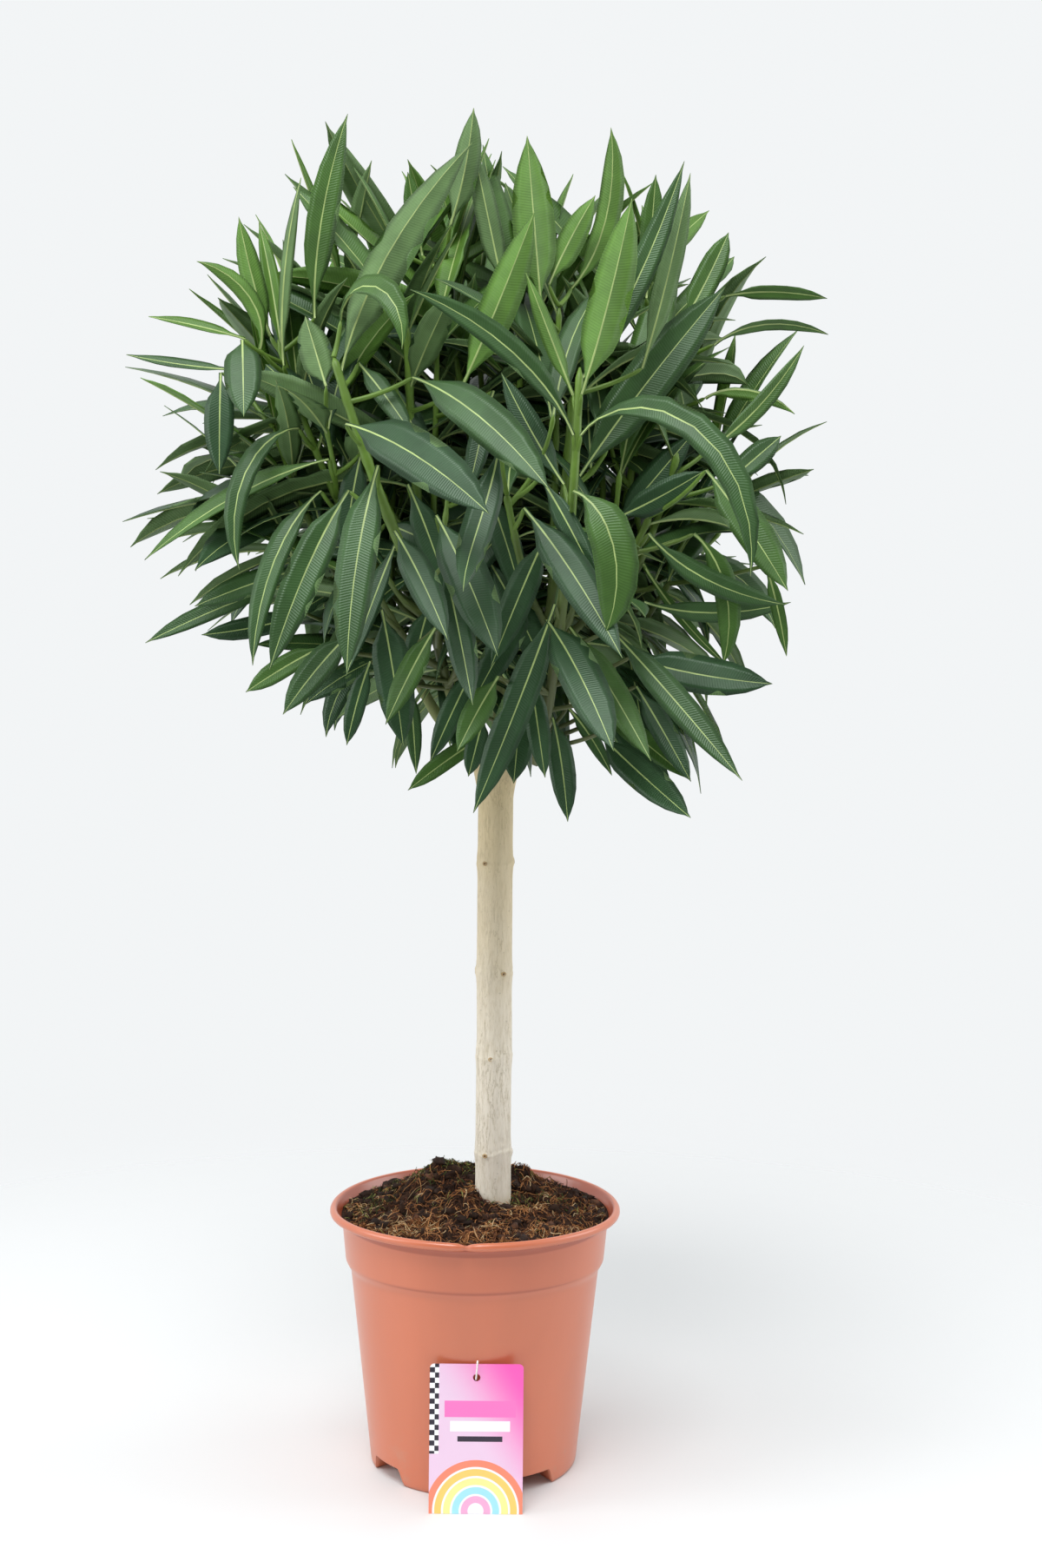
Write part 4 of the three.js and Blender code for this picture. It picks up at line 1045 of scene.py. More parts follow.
def plan_mass(azimuth, mass, shoots, root):
    """A mass's bough route and its twigs, as the CAD model plans them."""
    leader = shoots[0]
    top = root == 0
    tip = shoot_tip(leader, azimuth, mass, 0)
    if top:
        elbow = place(azimuth + leader[1], 2, BOUGH["elbow_height"] + 30)
    else:
        elbow = place(azimuth + leader[1], leader[2] * BOUGH["elbow_radius"], BOUGH["elbow_height"])
    route = Route(place(azimuth, root, BOUGH["height"]), elbow, tip)
    twigs = [Twig(mass, 0, leader, route.rest(BOUGH["share"]))]
    for number, values in enumerate(shoots[1:], 1):
        start = twigs[0].route.point(values[0])
        end = shoot_tip(values, azimuth, mass, number)
        bend = lerp(start, end, 0.55)
        bend[2] = lerp(start[2], end[2], 0.4 if top else 0.16)
        twigs.append(Twig(mass, number, values, Route(start, bend, end)))
    return route, twigs


def sprigs(twigs):
    """Short side shoots on a mass's three longest twigs, each leaning half out of the stem and bending up.
    Their leaves are made older for a darker green: painted shade inside the crown.
    """
    made = []
    for twig in twigs[:3]:
        for share, turn in ((0.25, 60), (0.45, 200), (0.6, 320)):
            start, axis = twig.route.point(share), twig.route.forward(share)
            side = twig.route.across()
            angle = math.radians(turn + 70 * twig.number + 40 * twig.mass)
            out = side * math.cos(angle) + np.cross(axis, side) * math.sin(angle)
            reach_out = 48 + 14 * noise_key(twig.mass, twig.number, turn, 3)
            bend = start + 0.6 * reach_out * unit(0.5 * axis + out)
            end = bend + 0.6 * reach_out * unit(axis + 0.4 * out + 0.5 * UP)
            sprig = Twig(twig.mass, 8 + len(made), (0, 0, 0, 0, 2, 0.5, 2.5, 2), Route(start, bend, end))
            sprig.size = 0.92
            # The sprigs sit inside the crown: shade adds three to their leaves' age, a darker green as
            # painted shade, which also folds and curls their blades as old ones.
            sprig.shade = 3.0
            made.append(sprig)
    return made


def spherical(azimuth, rise):
    level = np.cos(rise)
    return xyz(level * np.cos(azimuth), level * np.sin(azimuth), np.sin(rise))


class Leaves:
    """Arrays of leaves, one value a leaf. A leaf's midline is the running sum of short steps: its rise
    turns from the first value to the last as t to the power of bend, and its azimuth sways as t squared."""

    FIELDS = (
        "root", "azimuth", "rise", "fall", "bend", "length", "width", "sway", "roll", "twist", "age", "mass",
    )

    def __init__(self, **values):
        for field in self.FIELDS:
            setattr(self, field, np.asarray(values[field], float))

    def take(self, chosen):
        return Leaves(**{field: getattr(self, field)[chosen] for field in self.FIELDS})

    @staticmethod
    def together(groups):
        return Leaves(**{f: np.concatenate([getattr(g, f) for g in groups]) for f in Leaves.FIELDS})

    def scaled(self, share):
        """The same leaves at a share of their length."""
        made = self.take(np.arange(len(self.length)))
        made.length = made.length * share
        return made

    def smaller(self, share):
        """The same leaves at a share of their length, and narrower by the share's square root."""
        made = self.scaled(share)
        made.width = made.width * share**0.5
        return made

    def rise_at(self, t):
        return lerp(self.rise[:, None], self.fall[:, None], t[None, :] ** self.bend[:, None])

    def azimuth_at(self, t):
        return self.azimuth[:, None] + self.sway[:, None] * t[None, :] ** 2

    def midlines(self):
        middle = (np.arange(LEAF_STEPS) + 0.5) / LEAF_STEPS
        step = (self.length / LEAF_STEPS)[:, None, None]
        steps = spherical(self.azimuth_at(middle), self.rise_at(middle)) * step
        start = self.root[:, None]
        return np.concatenate([start, start + np.cumsum(steps, axis=1)], axis=1)

    def frames(self, t):
        """The blade's upper side and its right at shares t of its length."""
        azimuth, rise = self.azimuth_at(t), self.rise_at(t)
        forward, face = spherical(azimuth, rise), spherical(azimuth, rise + np.pi / 2)
        side = np.cross(forward, face)
        roll = (self.roll[:, None] + self.twist[:, None] * t[None, :])[..., None]
        up = face * np.cos(roll) + side * np.sin(roll)
        return up, np.cross(forward, up)


def whorl_leaves(twig, whorl, slot):
    """One leaf of a whorl in each of the directions that the rule tries: round the stem by TURNS, and each
    of those hanging less or more by HANGS."""
    ident = twig.mass * 10 + twig.number

    def key(number):
        return noise_key(ident, whorl * 10 + slot, number, 2)

    along = twig.whorl_at(whorl)
    age = twig.age + twig.whorls - 1 - whorl
    axis = twig.route.forward(along)
    side = unit(np.array([-axis[1], axis[0], 0.0]))
    front = np.cross(axis, side)
    facet = math.radians(60 * whorl + 40 * twig.number + 25 * twig.mass) + math.radians(120 * slot)
    turn, hang = (grid.ravel() for grid in np.meshgrid(TURNS, HANGS))
    lean = math.radians(AGE_LEAN[age] + 9 * key(2))
    angle = facet + np.radians(12 * key(1) + turn)
    turned_out = side * np.cos(angle)[:, None] + front * np.sin(angle)[:, None]
    direction = axis * math.cos(lean) + turned_out * math.sin(lean)
    rise = np.arcsin(np.clip(direction[:, 2], -1, 1))
    droop = np.radians(AGE_DROOP[age] * hang * (0.9 + 0.6 * key(3)))
    length = AGE_SIZE[age] * (LEAF["length"] + LEAF["spread"] * key(4)) * twig.size
    width = length * LEAF["width"] * (1 + 0.13 * key(5)) * AGE_WIDTH[age]
    same = np.ones(len(turn))
    # A twig's shade is added to its leaves' age: painted shade, a darker green for the sprigs inside the
    # crown.
    return Leaves(
        root=twig.route.point(along) + 0.3 * twig.girth_at(along) * turned_out,
        azimuth=np.arctan2(direction[:, 1], direction[:, 0]), rise=rise,
        fall=np.maximum(rise - droop, math.radians(-84)), bend=same * (1.0 + 0.5 * key(7)),
        length=same * length,
        width=same * width, sway=same * math.radians(38 * key(6)), roll=same * math.radians(24 * key(8)),
        twist=same * math.radians(46 * key(9)), age=same * (age + twig.shade), mass=same * twig.mass,
    ), noise_key(ident, whorl * 10 + slot, 10, 2)


def reach(points, key):
    """How far a point is from the crown's middle, as a share of the envelope's radius that way."""
    across = np.hypot(points[:, 0] - CROWN["x"], points[:, 1] - CROWN["y"])
    fall = CROWN["z"] - points[:, 2]
    power = np.where(fall < 0, CROWN["shoulder"], CROWN["skirt"])
    away = (across**power + np.abs(fall) ** power) ** (1 / power)
    fuller = np.where((fall > 125) & (points[:, 0] > 86) & (points[:, 1] < -40), CROWN["fuller"], 1.0)
    slimmer = 1 - 0.12 * smooth(fall, 60, 130) * smooth(-points[:, 0], 20, 90)
    longest = 1.04 - 0.2 * (1 - ((key + 1) / 2) ** 2)
    return away / (CROWN["radius"] * fuller * slimmer * longest)


def fitted(leaves, key):
    """Each leaf shortened until its tip is inside the envelope, and which of them may stay."""
    length = leaves.length.copy()
    found = np.zeros(len(length), bool)
    lost = np.zeros(len(length), bool)
    for share in SHORTER:
        shorter = leaves.scaled(share)
        fits = (reach(shorter.midlines()[:, -1], key) <= 1) & ~found & ~lost
        length[fits] = shorter.length[fits]
        found |= fits
        lost |= ~found & (leaves.length * share < MIN_LEAF)
    made = leaves.take(np.arange(len(length)))
    made.length = length
    away = made.midlines()[:, -1] - np.array([TRUNK["x"], TRUNK["y"], CROWN["z"]])
    core = np.sqrt(away[:, 0] ** 2 + away[:, 1] ** 2 + (0.8 * away[:, 2]) ** 2)
    return made, found & (core >= CROWN["core"])


def placed_leaves():
    """The large leaves that show most, each from its foot to its tip. Its rise and azimuth are corrected in
    turn until its tip lands: the arch is the angle that it bends down through, and the turn the angle that
    it sways through. Its upper side looks to the front, rolled from there by its face angle."""
    foot, tip = (np.array([row[i] for row in PLACED_LEAVES], float) for i in (0, 1))
    arch, turn, width, face, age = np.array([row[2:] for row in PLACED_LEAVES], float).T
    chord = tip - foot
    reach_out = np.linalg.norm(chord, axis=1)
    azimuth, level = np.arctan2(chord[:, 1], chord[:, 0]), np.arcsin(chord[:, 2] / reach_out)
    middle = (foot + tip) / 2 - place(0, 0, 0)
    towards = np.degrees(np.arctan2(middle[:, 1], middle[:, 0]))[:, None]
    ring = np.abs((towards - RING_AZIMUTHS + 180) % 360 - 180)
    none = np.zeros(len(foot))
    leaves = Leaves(
        root=foot, azimuth=azimuth, rise=level + np.radians(arch) / 2, fall=none, bend=none + PLACED_BEND,
        length=reach_out, width=width, sway=np.radians(turn), roll=none, twist=none, age=age,
        mass=ring.argmin(1),
    )
    for _ in range(12):
        leaves.fall = leaves.rise - np.radians(arch)
        made = leaves.midlines()[:, -1] - foot
        size = np.linalg.norm(made, axis=1)
        leaves.azimuth = leaves.azimuth + azimuth - np.arctan2(made[:, 1], made[:, 0])
        leaves.rise = leaves.rise + level - np.arcsin(made[:, 2] / size)
        leaves.length = leaves.length * reach_out / size
    leaves.fall = leaves.rise - np.radians(arch)
    middle = np.array([0.5])
    up, right = (side[:, 0] for side in leaves.frames(middle))
    leaves.roll = np.radians(face) + np.arctan2(right @ FRONT, up @ FRONT)
    return leaves


def outline_points(leaves):
    """Points that stand for each blade where it could touch others: its midline and its two edges at eight
    shares."""
    rows = np.array([4, 7, 10, 13, 16, 19, 22, 24])
    t = rows / LEAF_STEPS
    line = leaves.midlines()[:, rows]
    _, right = leaves.frames(t)
    half = 0.48 * leaves.width[:, None] * np.sin(np.pi * t)[None, :] ** 0.7
    edge = half[..., None] * right
    return np.concatenate([line, line + edge, line - edge], axis=1)


def seen(points):
    """Points as the viewer in front sees them: their place across the view, and their depth, in
    millimetres."""
    eye = points - VIEWER
    depth = eye[..., 1:2]
    return np.concatenate([eye[..., [0, 2]] / depth * -VIEWER[1], depth], axis=-1)


def hides(outlines, front):
    """Whether a leaf's outline stands in front of one of the placed leaves."""
    points = seen(outlines)
    near = np.abs(points[:, :, None, :2] - front[None, None, :, :2]).max(-1) < 9
    return (near & (points[:, :, None, 2] < front[None, None, :, 2] + 4)).any((1, 2))


def broadside(leaves):
    """From 1 for a leaf that shows its whole length to the viewer down to a half for one that points that
    way."""
    line = leaves.midlines()
    return 1 - 0.5 * np.maximum(unit(line[:, -1] - line[:, 0]) @ unit(VIEWER - CROWN["z"] * UP), 0) ** 2


def nearest(points, others):
    """The distance from each point to the nearest of the others, by |a|^2 + |b|^2 - 2 a.b."""
    square = (points**2).sum(-1)[..., None] + (others**2).sum(-1) - 2 * points @ others.T
    return np.sqrt(np.maximum(square.min(-1), 0))


def grow_crown(masses, settings):
    """The crown's leaves, shoot by shoot and from each shoot's tip down. Each slot of a whorl takes the
    direction that is clearest of the stems and of the leaves already grown, or stays bare where none is
    clear enough."""
    placed = placed_leaves()
    front = seen(outline_points(placed).reshape(-1, 3))
    stems = [twig.route.point(np.linspace(0.04, 1, 24)) for _, twigs in masses.values() for twig in twigs]
    cloud = np.vstack([*stems, outline_points(placed).reshape(-1, 3)])
    grown = [placed]
    for _, twigs in masses.values():
        for twig in twigs:
            for whorl in reversed(range(twig.whorls)):
                for slot in range(WHORL):
                    whole, key = whorl_leaves(twig, whorl, slot)
                    sizes = FRONT_SIZES if whole.root[0, 1] < FRONT_FROM else (1.0,)
                    for share in sizes:
                        leaves, fits = fitted(whole.smaller(share), key)
                        if not fits.any():
                            continue
                        leaves = leaves.take(fits)
                        outline = outline_points(leaves)
                        close = cloud[np.abs(cloud - leaves.root[0]).max(-1) < CLOSE]
                        clear = nearest(outline, close).min(-1)
                        clear = np.where(hides(outline, front), -1, clear * broadside(leaves))
                        best = int(np.argmax(clear))
                        if clear[best] >= settings.leaf_clearance:
                            twig.end = max(twig.end, min(1, twig.whorl_at(whorl) + 5 / twig.route.length))
                            grown.append(leaves.take([best]))
                            cloud = np.vstack([cloud, outline[best]])
                            break
    return Leaves.together(grown)


# ---------------------------------------------------------------- leaves and stems


BLADE_ROWS = np.array([0, 1, 2, 4, 6, 8, 11, 14, 17, 20, 22, 23, 24])
BLADE_ACROSS = np.array([1.0, 0.55, 0.0, 0.0, -0.55, -1.0, -0.55, 0.0, 0.0, 0.0, 0.55])


def blade_points(leaves, settings):
    """The surface of every leaf at once: a lance-shaped blade, folded along its midrib, with its edges
    curled down with age and gently waved. Its half-width is 1 - |2t - 1| to a power, with a slimmer foot.
    Across the upper side run the right edge, the right half, the midrib's two sides, the left half and the
    left edge, and back below run the left half, the keel's left side, its crest, its right side and the
    right half."""
    t = BLADE_ROWS / LEAF_STEPS
    line = leaves.midlines()[:, BLADE_ROWS]
    up, right = leaves.frames(t)
    count = len(leaves.length)
    rng = np.random.default_rng(5)
    plump = 2.3 + 0.8 * rng.random((count, 1))
    full = 0.5 * leaves.width[:, None] * (1 - np.abs(2 * t - 0.96)[None, :] ** plump).clip(0)
    taper = smooth(t, 0.0, 0.3)[None, :]
    half = np.maximum(full * taper, 1.3 - 0.5 * taper)
    half[:, -1] = 0.15
    rib = np.minimum(half * 0.5, settings.rib_width / 2 * (1.2 - 0.9 * t)[None, :])
    young = np.clip(1 - leaves.age / 4, 0, 1)[:, None]
    fold = np.tan(np.radians(7 + 17 * young + 10 * rng.random((count, 1))) * (1 - 0.3 * t)[None, :])
    curl = (0.17 - 0.12 * young) * rng.random((count, 1))
    phase = rng.random((count, 2)) * 2 * np.pi
    wave = leaves.width[:, None] * 0.035 * np.sin(np.pi * t)[None, :]
    waves = [wave * np.sin(9 * t[None, :] + phase[:, side, None]) for side in (0, 1)]
    thick = 0.3

    def lifted(share):
        return np.abs(half * share) * (fold - curl * abs(share)) + share * share * waves[int(share > 0)]

    rows = [(half * share, lifted(share) + thick) for share in BLADE_ACROSS[:6]]
    rows[2] = (rib, rib * fold - 0.12 + thick)
    rows[3] = (-rib, rib * fold - 0.12 + thick)
    crest = np.minimum(0.35 + 0.9 * (1 - t)[None, :], half * 0.7)
    rows += [(-0.55 * half, lifted(-0.55) - 0.12), (-rib, rib * fold - 0.05), (0 * rib, -crest)]
    rows += [(rib, rib * fold - 0.05), (0.55 * half, lifted(0.55) - 0.12)]
    offsets = np.stack([a for a, _ in rows], axis=-1)[..., None]
    lifts = np.stack([b for _, b in rows], axis=-1)[..., None]
    points = line[:, :, None] + offsets * right[:, :, None] + lifts * up[:, :, None]
    along = leaves.length[:, None] * t[None, :] / 100
    across = 0.5 + 0.5 * BLADE_ACROSS
    uv = np.stack(np.broadcast_arrays(across[None, None, :], along[:, :, None]), axis=-1)
    return points, uv


def build_leaves(name, leaves, materials, settings):
    """One mass of leaves, joined. Each leaf's upper side has one of the greens, dealt out by its age and by
    chance. Some of these ages are painted shade: the sprigs' added age and the placed leaves' ages of 5 and 6
    give the darkest greens to leaves inside and low in the crown."""
    points, uv = blade_points(leaves, settings)
    count, rows, columns = points.shape[:3]
    quads = grid_quads(rows, columns, closed=True)
    column = np.arange(len(quads)) % columns
    tris = cap_fans(rows, columns)
    ends = np.stack([points[:, 0].mean(1), points[:, -1].mean(1)], axis=1)
    body = np.concatenate([points.reshape(count, -1, 3), ends], axis=1)
    uv = np.concatenate([uv.reshape(count, -1, 2), uv[:, [0, -1], 0]], axis=1).reshape(-1, 2)
    rng = np.random.default_rng(40 + int(leaves.mass[0]))
    # The darkest tints of leaves inside and low in the crown are painted shade.
    tint = np.clip(leaves.age / 1.6 + rng.normal(0, 0.6, count), 0, 3).round().astype(int)
    upper = np.isin(column, (0, 1, 3, 4))
    rib = np.isin(column, (2, 7, 8))
    pale = np.where(tint < 1, 5, 4)
    slots = np.where(upper[None], tint[:, None], np.where(rib[None], 6, pale[:, None]))
    joined = Joined()
    joined.add_copies(body, quads, tris, slots, np.full(count, 4))
    piece = joined.piece(f"leaves_{name}", materials, uv)
    seat(piece, "foliage", f"foliage_{name}")


def stem_tube(joined, route, end, start_radius, end_radius, knots=()):
    """A round stem along a route as far as a share of it, a little thicker at each knot, with a rounded
    end."""
    t = np.linspace(0, end, 48)
    swelling = sum(0.5 * np.exp(-(((t - knot) * route.length / 3.2) ** 2)) for knot in knots)
    radius = lerp(start_radius, end_radius, t) + swelling
    radius = radius * np.sqrt(np.clip((end - t) * route.length / 3 + 0.06, 0, 1))
    joined.add(*closed_tube(rings_along(route.point(t), radius, 8, route.across())))


def build_stems(masses, leaves, materials):
    """Every twig as a green stem as far as its last leaf, a fine twig to the foot of each placed leaf, and
    each bough as a limb with low relief that runs from the trunk's head to its mass."""
    stems, limbs = Joined(), Joined()
    paths = []
    for route, twigs in masses.values():
        for twig in twigs:
            end = max(twig.end, 0.4 if twig.number == 0 else 0.0)
            if end == 0:
                continue
            girth = 0.8 * twig.girth
            knots = [twig.whorl_at(whorl) for whorl in range(twig.whorls)]
            stem_tube(stems, twig.route, end, girth, girth * SHOOT["tip_taper"], knots)
            paths.append(twig.route.point(np.linspace(0, end, 40)))
        t = np.linspace(0, BOUGH["share"] + 0.004, 40)
        radius = lerp(BOUGH["girth"], twigs[0].girth * 0.8, np.linspace(0, 1, 40))[:, None]
        angle = np.arange(14)[None, :]
        relief = 0.22 * value_noise(xyz(angle * 0.9, 24 * t[:, None], 0), 3)
        limbs.add(*closed_tube(rings_along(route.point(t), radius + relief, 14, route.across())))
    for ends in PLACED_TWIGS:
        placed_stem = Route(*np.array(ends, float))
        stem_tube(stems, placed_stem, 1.0, 0.95 * PLACED_GIRTH, 0.6 * PLACED_GIRTH, (0.2, 0.42, 0.64, 0.86))
        paths.append(placed_stem.point(np.linspace(0, 1, 40)))
    paths = np.vstack(paths)
    for foot in leaves.root[: len(PLACED_LEAVES)]:
        away = np.linalg.norm(paths - foot, axis=1) + 2 * np.maximum(paths[:, 2] - foot[2] + 14, 0)
        start = paths[np.argmin(away)]
        if np.linalg.norm(start - foot) > 4:
            bend = lerp(start, foot, 0.6)
            bend[2] = lerp(start[2], foot[2], 0.35)
            stem_tube(stems, Route(start, bend, foot), 1.0, 1.7, 1.3)
    green = stems.piece("green_stems", [materials["stem"]])
    seat(green, "foliage")
    wood = limbs.piece("boughs_bark", [materials["young_bark"]])
    seat(wood, "bough", *(f"bough_{name}" for name in masses))


# ---------------------------------------------------------------- label


def label_material():
    """A printed card of plain shapes: a pink ground that deepens to one corner, a fan of soft-coloured
    rings at the foot, two plain bars, and a column of black and white squares. It has no lettering."""
    shader = Shader("printed_card", 0.32, Specular_IOR_Level=0.5)
    low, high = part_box("label")
    wide, tall = high[0] - low[0], high[2] - low[2]
    x, _, z = shader.axes()
    u = (x - low[0]) / wide
    v = (z - low[2]) / tall
    ground = shader.mix((u * 0.9 + v * 0.9 - 0.75).step(0.1, 0.95), (0.82, 0.60, 0.78), (0.93, 0.12, 0.50))
    ratio = wide / tall
    du, dv = (u - 0.5) * ratio, v - 0.02
    ring = (du * du + dv * dv) ** 0.5
    colours = [
        (0.95, 0.26, 0.16), (0.98, 0.62, 0.16), (0.96, 0.86, 0.32), (0.38, 0.78, 0.92), (0.86, 0.42, 0.66),
    ]
    tone = ground
    for number, colour in enumerate(colours):
        edge = 0.34 - 0.06 * number
        tone = shader.mix(1 - ring.above(edge), tone, colour)
        tone = shader.mix(1 - ring.above(edge - 0.046), tone, (0.92, 0.90, 0.93))
    squares = ((u * ratio * 90).sin() * (v * 90).sin()).above(0.0)
    strip = 1 - u.above(0.1)
    tone = shader.mix(strip * v.above(0.40), tone, shader.mix(squares, (0.03, 0.025, 0.04), (0.9, 0.9, 0.92)))
    for middle, half, left, right, colour in (
        (0.70, 0.055, 0.16, 0.92, (0.90, 0.20, 0.55)),
        (0.585, 0.035, 0.22, 0.86, (0.92, 0.90, 0.93)),
        (0.50, 0.018, 0.30, 0.78, (0.04, 0.03, 0.05)),
    ):
        bar = (1 - (v - middle).abs().above(half)) * u.above(left) * (1 - u.above(right))
        tone = shader.mix(bar, tone, colour)
    shader.feed("Base Color", tone)
    shader.feed("Normal", shader.bump(shader.noise(700.0, 2.0), 0.04, 0.0002))
    return shader.material


def finish_node(name, material):
    """A CAD node that stays gets its material."""
    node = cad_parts[name]
    node.data.materials.clear()
    node.data.materials.append(material)


# ---------------------------------------------------------------- property groups


def colour_property(name, description, default):
    return FloatVectorProperty(
        name=name, description=description, default=default, min=0, max=1, subtype="COLOR"
    )


def number_property(name, description, default, least=0, **more):
    return FloatProperty(name=name, description=description, default=default, min=least, **more)


class PotSettings(bpy.types.PropertyGroup):
    plastic: colour_property("Plastic", "Colour of the pot's plastic", (0.585, 0.158, 0.072))
    notch_depth: number_property("Notch depth", "Depth of the dent in the lip, in mm", 4.2)
    notch_width: number_property("Notch width", "Half width of the dent, in mm", 3.6, 0.5)


class SoilSettings(bpy.types.PropertyGroup):
    peat: colour_property("Peat", "Colour of dry peat", (0.046, 0.022, 0.013))
    crumbs: IntProperty(name="Crumbs", description="Number of loose crumbs", default=1700, min=0)
    fibres: IntProperty(name="Fibres", description="Number of roots and straws", default=1600, min=0)
    moss: IntProperty(name="Moss", description="Number of moss strands", default=1500, min=0)


class PlantSettings(bpy.types.PropertyGroup):
    bark_low: colour_property("Bark, low", "Colour of the bark near the soil", (0.78, 0.72, 0.61))
    bark_high: colour_property("Bark, high", "Colour of the bark near the crown", (0.60, 0.49, 0.29))
    leaf_dark: colour_property("Old leaf", "Upper side of an old leaf", (0.023, 0.061, 0.022))
    leaf_young: colour_property("Young leaf", "Upper side of a young leaf", (0.080, 0.180, 0.018))
    leaf_under: colour_property("Leaf below", "Lower side of a leaf", (0.100, 0.175, 0.062))
    midrib: colour_property("Midrib", "Colour of the midribs", (0.36, 0.47, 0.17))
    stem: colour_property("Stem", "Colour of the green stems", (0.115, 0.21, 0.030))
    old_stem: colour_property("Old stem", "Colour of the stems low in the crown", (0.085, 0.105, 0.035))
    rib_width: number_property("Midrib width", "Width of a midrib at its foot, in mm", 1.1, 0.2)
    leaf_clearance: number_property("Leaf clearance", "Least space between the blades, in mm", 4.6)
    crack_depth: number_property("Crack depth", "Depth of the bark's cracks, in mm", 0.22)


class StageSettings(bpy.types.PropertyGroup):
    floor: colour_property("Floor", "Colour of the floor", (0.73, 0.74, 0.745))
    ambient: number_property("Ambient", "Strength of the light from all round", 0.96)
    room: number_property("Room", "Share of that light that comes from in front", 0.2)
    key: number_property("Key light", "Power of the main soft light", 44, unit="POWER")


# ---------------------------------------------------------------- operators


class OLEANDER_OT_pot(bpy.types.Operator):
    """Build the plastic pot"""

    bl_idname = "oleander.pot"
    bl_label = "Pot"

    def execute(self, context):
        settings = context.scene.oleander_pot
        build_pot(settings, plastic_material(settings.plastic))
        return {"FINISHED"}


class OLEANDER_OT_soil(bpy.types.Operator):
    """Build the peat with its crumbs, fibres and moss"""

    bl_idname = "oleander.soil"
    bl_label = "Soil"

    def execute(self, context):
        settings = context.scene.oleander_soil
        peat = peat_material(settings.peat)
        dark = fibre_material("dark_bark_chip", shade(settings.peat, 0.3), shade(settings.peat, 0.7))
        chip = fibre_material("brown_bark_chip", (0.11, 0.045, 0.022), (0.045, 0.022, 0.013))
        dark_root = fibre_material("dark_root", (0.060, 0.024, 0.013), (0.022, 0.011, 0.008))
        root = fibre_material("brown_root", (0.20, 0.075, 0.028), (0.090, 0.032, 0.015))
        straw = fibre_material("straw", (0.50, 0.24, 0.090), (0.32, 0.125, 0.042))
        pale = fibre_material("pale_straw", (0.66, 0.50, 0.29), (0.50, 0.31, 0.14))
        moss = fibre_material("moss", (0.070, 0.105, 0.022), (0.022, 0.032, 0.010))
        dry_moss = fibre_material("dry_moss", (0.30, 0.30, 0.09), (0.13, 0.12, 0.035))
        build_soil(peat)
        build_crumbs(settings, [peat, dark, chip])
        build_fibres(settings, [dark_root, root, straw, pale, moss, dry_moss])
        return {"FINISHED"}


class OLEANDER_OT_trunk(bpy.types.Operator):
    """Build the trunk with its bark and bud scars"""

    bl_idname = "oleander.trunk"
    bl_label = "Trunk"

    def execute(self, context):
        settings = context.scene.oleander_plant
        crack = shade(settings.bark_high, 0.62)
        materials = {
            "bark": bark_material("pale_bark", settings.bark_low, settings.bark_high, crack),
            "scar": plain_material("cork_scar", (0.45, 0.32, 0.17), 0.85),
            "pit": plain_material("scar_pit", (0.10, 0.05, 0.025), 0.9),
        }
        build_trunk(settings, materials)
        return {"FINISHED"}


class OLEANDER_OT_crown(bpy.types.Operator):
    """Grow the boughs, stems and leaves"""

    bl_idname = "oleander.crown"
    bl_label = "Crown"

    def execute(self, context):
        settings = context.scene.oleander_plant
        masses = {
            name: plan_mass(RING_AZIMUTHS[number], number, RING_SHOOTS, BOUGH["root"])
            for number, name in enumerate(RING)
        }
        masses["top"] = plan_mass(0, len(RING), TOP_SHOOTS, 0)
        shades = (settings.leaf_young, settings.leaf_dark, settings.leaf_under)
        young, dark, under = (np.array(tuple(colour)) for colour in shades)
        greens = [
            leaf_material(f"leaf_green_{i}", tuple(lerp(young, dark, share)), rough, 0.5)
            for i, (share, rough) in enumerate(((0.0, 0.46), (0.5, 0.44), (0.82, 0.42), (1.0, 0.40)))
        ]
        below = leaf_material("leaf_below", settings.leaf_under, 0.55, 0.35)
        young_below = leaf_material("young_leaf_below", lerp(young, under, 0.3) * 1.15, 0.5, 0.35)
        rib = plain_material("midrib", settings.midrib, 0.45)
        wood = shade(settings.bark_high, 0.8)
        materials = {
            "stem": plain_material("green_stem", settings.stem, 0.45, settings.old_stem),
            "young_bark": bark_material("young_bark", wood, (0.20, 0.23, 0.09), shade(wood, 0.5)),
        }
        for _, twigs in masses.values():
            twigs.extend(sprigs(twigs))
        leaves = grow_crown(masses, settings)
        build_stems(masses, leaves, materials)
        for number, name in enumerate(masses):
            own = leaves.take(leaves.mass == number)
            build_leaves(name, own, [*greens, below, young_below, rib], settings)
        return {"FINISHED"}


class OLEANDER_OT_label(bpy.types.Operator):
    """Finish the leaning card and its loop"""

    bl_idname = "oleander.label"
    bl_label = "Label"

    def execute(self, context):
        finish_node("label", label_material())
        finish_node("label_loop", plain_material("white_cord", (0.82, 0.81, 0.78), 0.6))
        return {"FINISHED"}


class OLEANDER_OT_stage(bpy.types.Operator):
    """Set the floor, the soft lights and the camera"""

    bl_idname = "oleander.stage"
    bl_label = "Stage"

    def execute(self, context):
        settings = context.scene.oleander_stage
        build_floor(settings)
        build_world(settings)
        build_lights(settings)
        build_camera()
        return {"FINISHED"}


# ---------------------------------------------------------------- stage


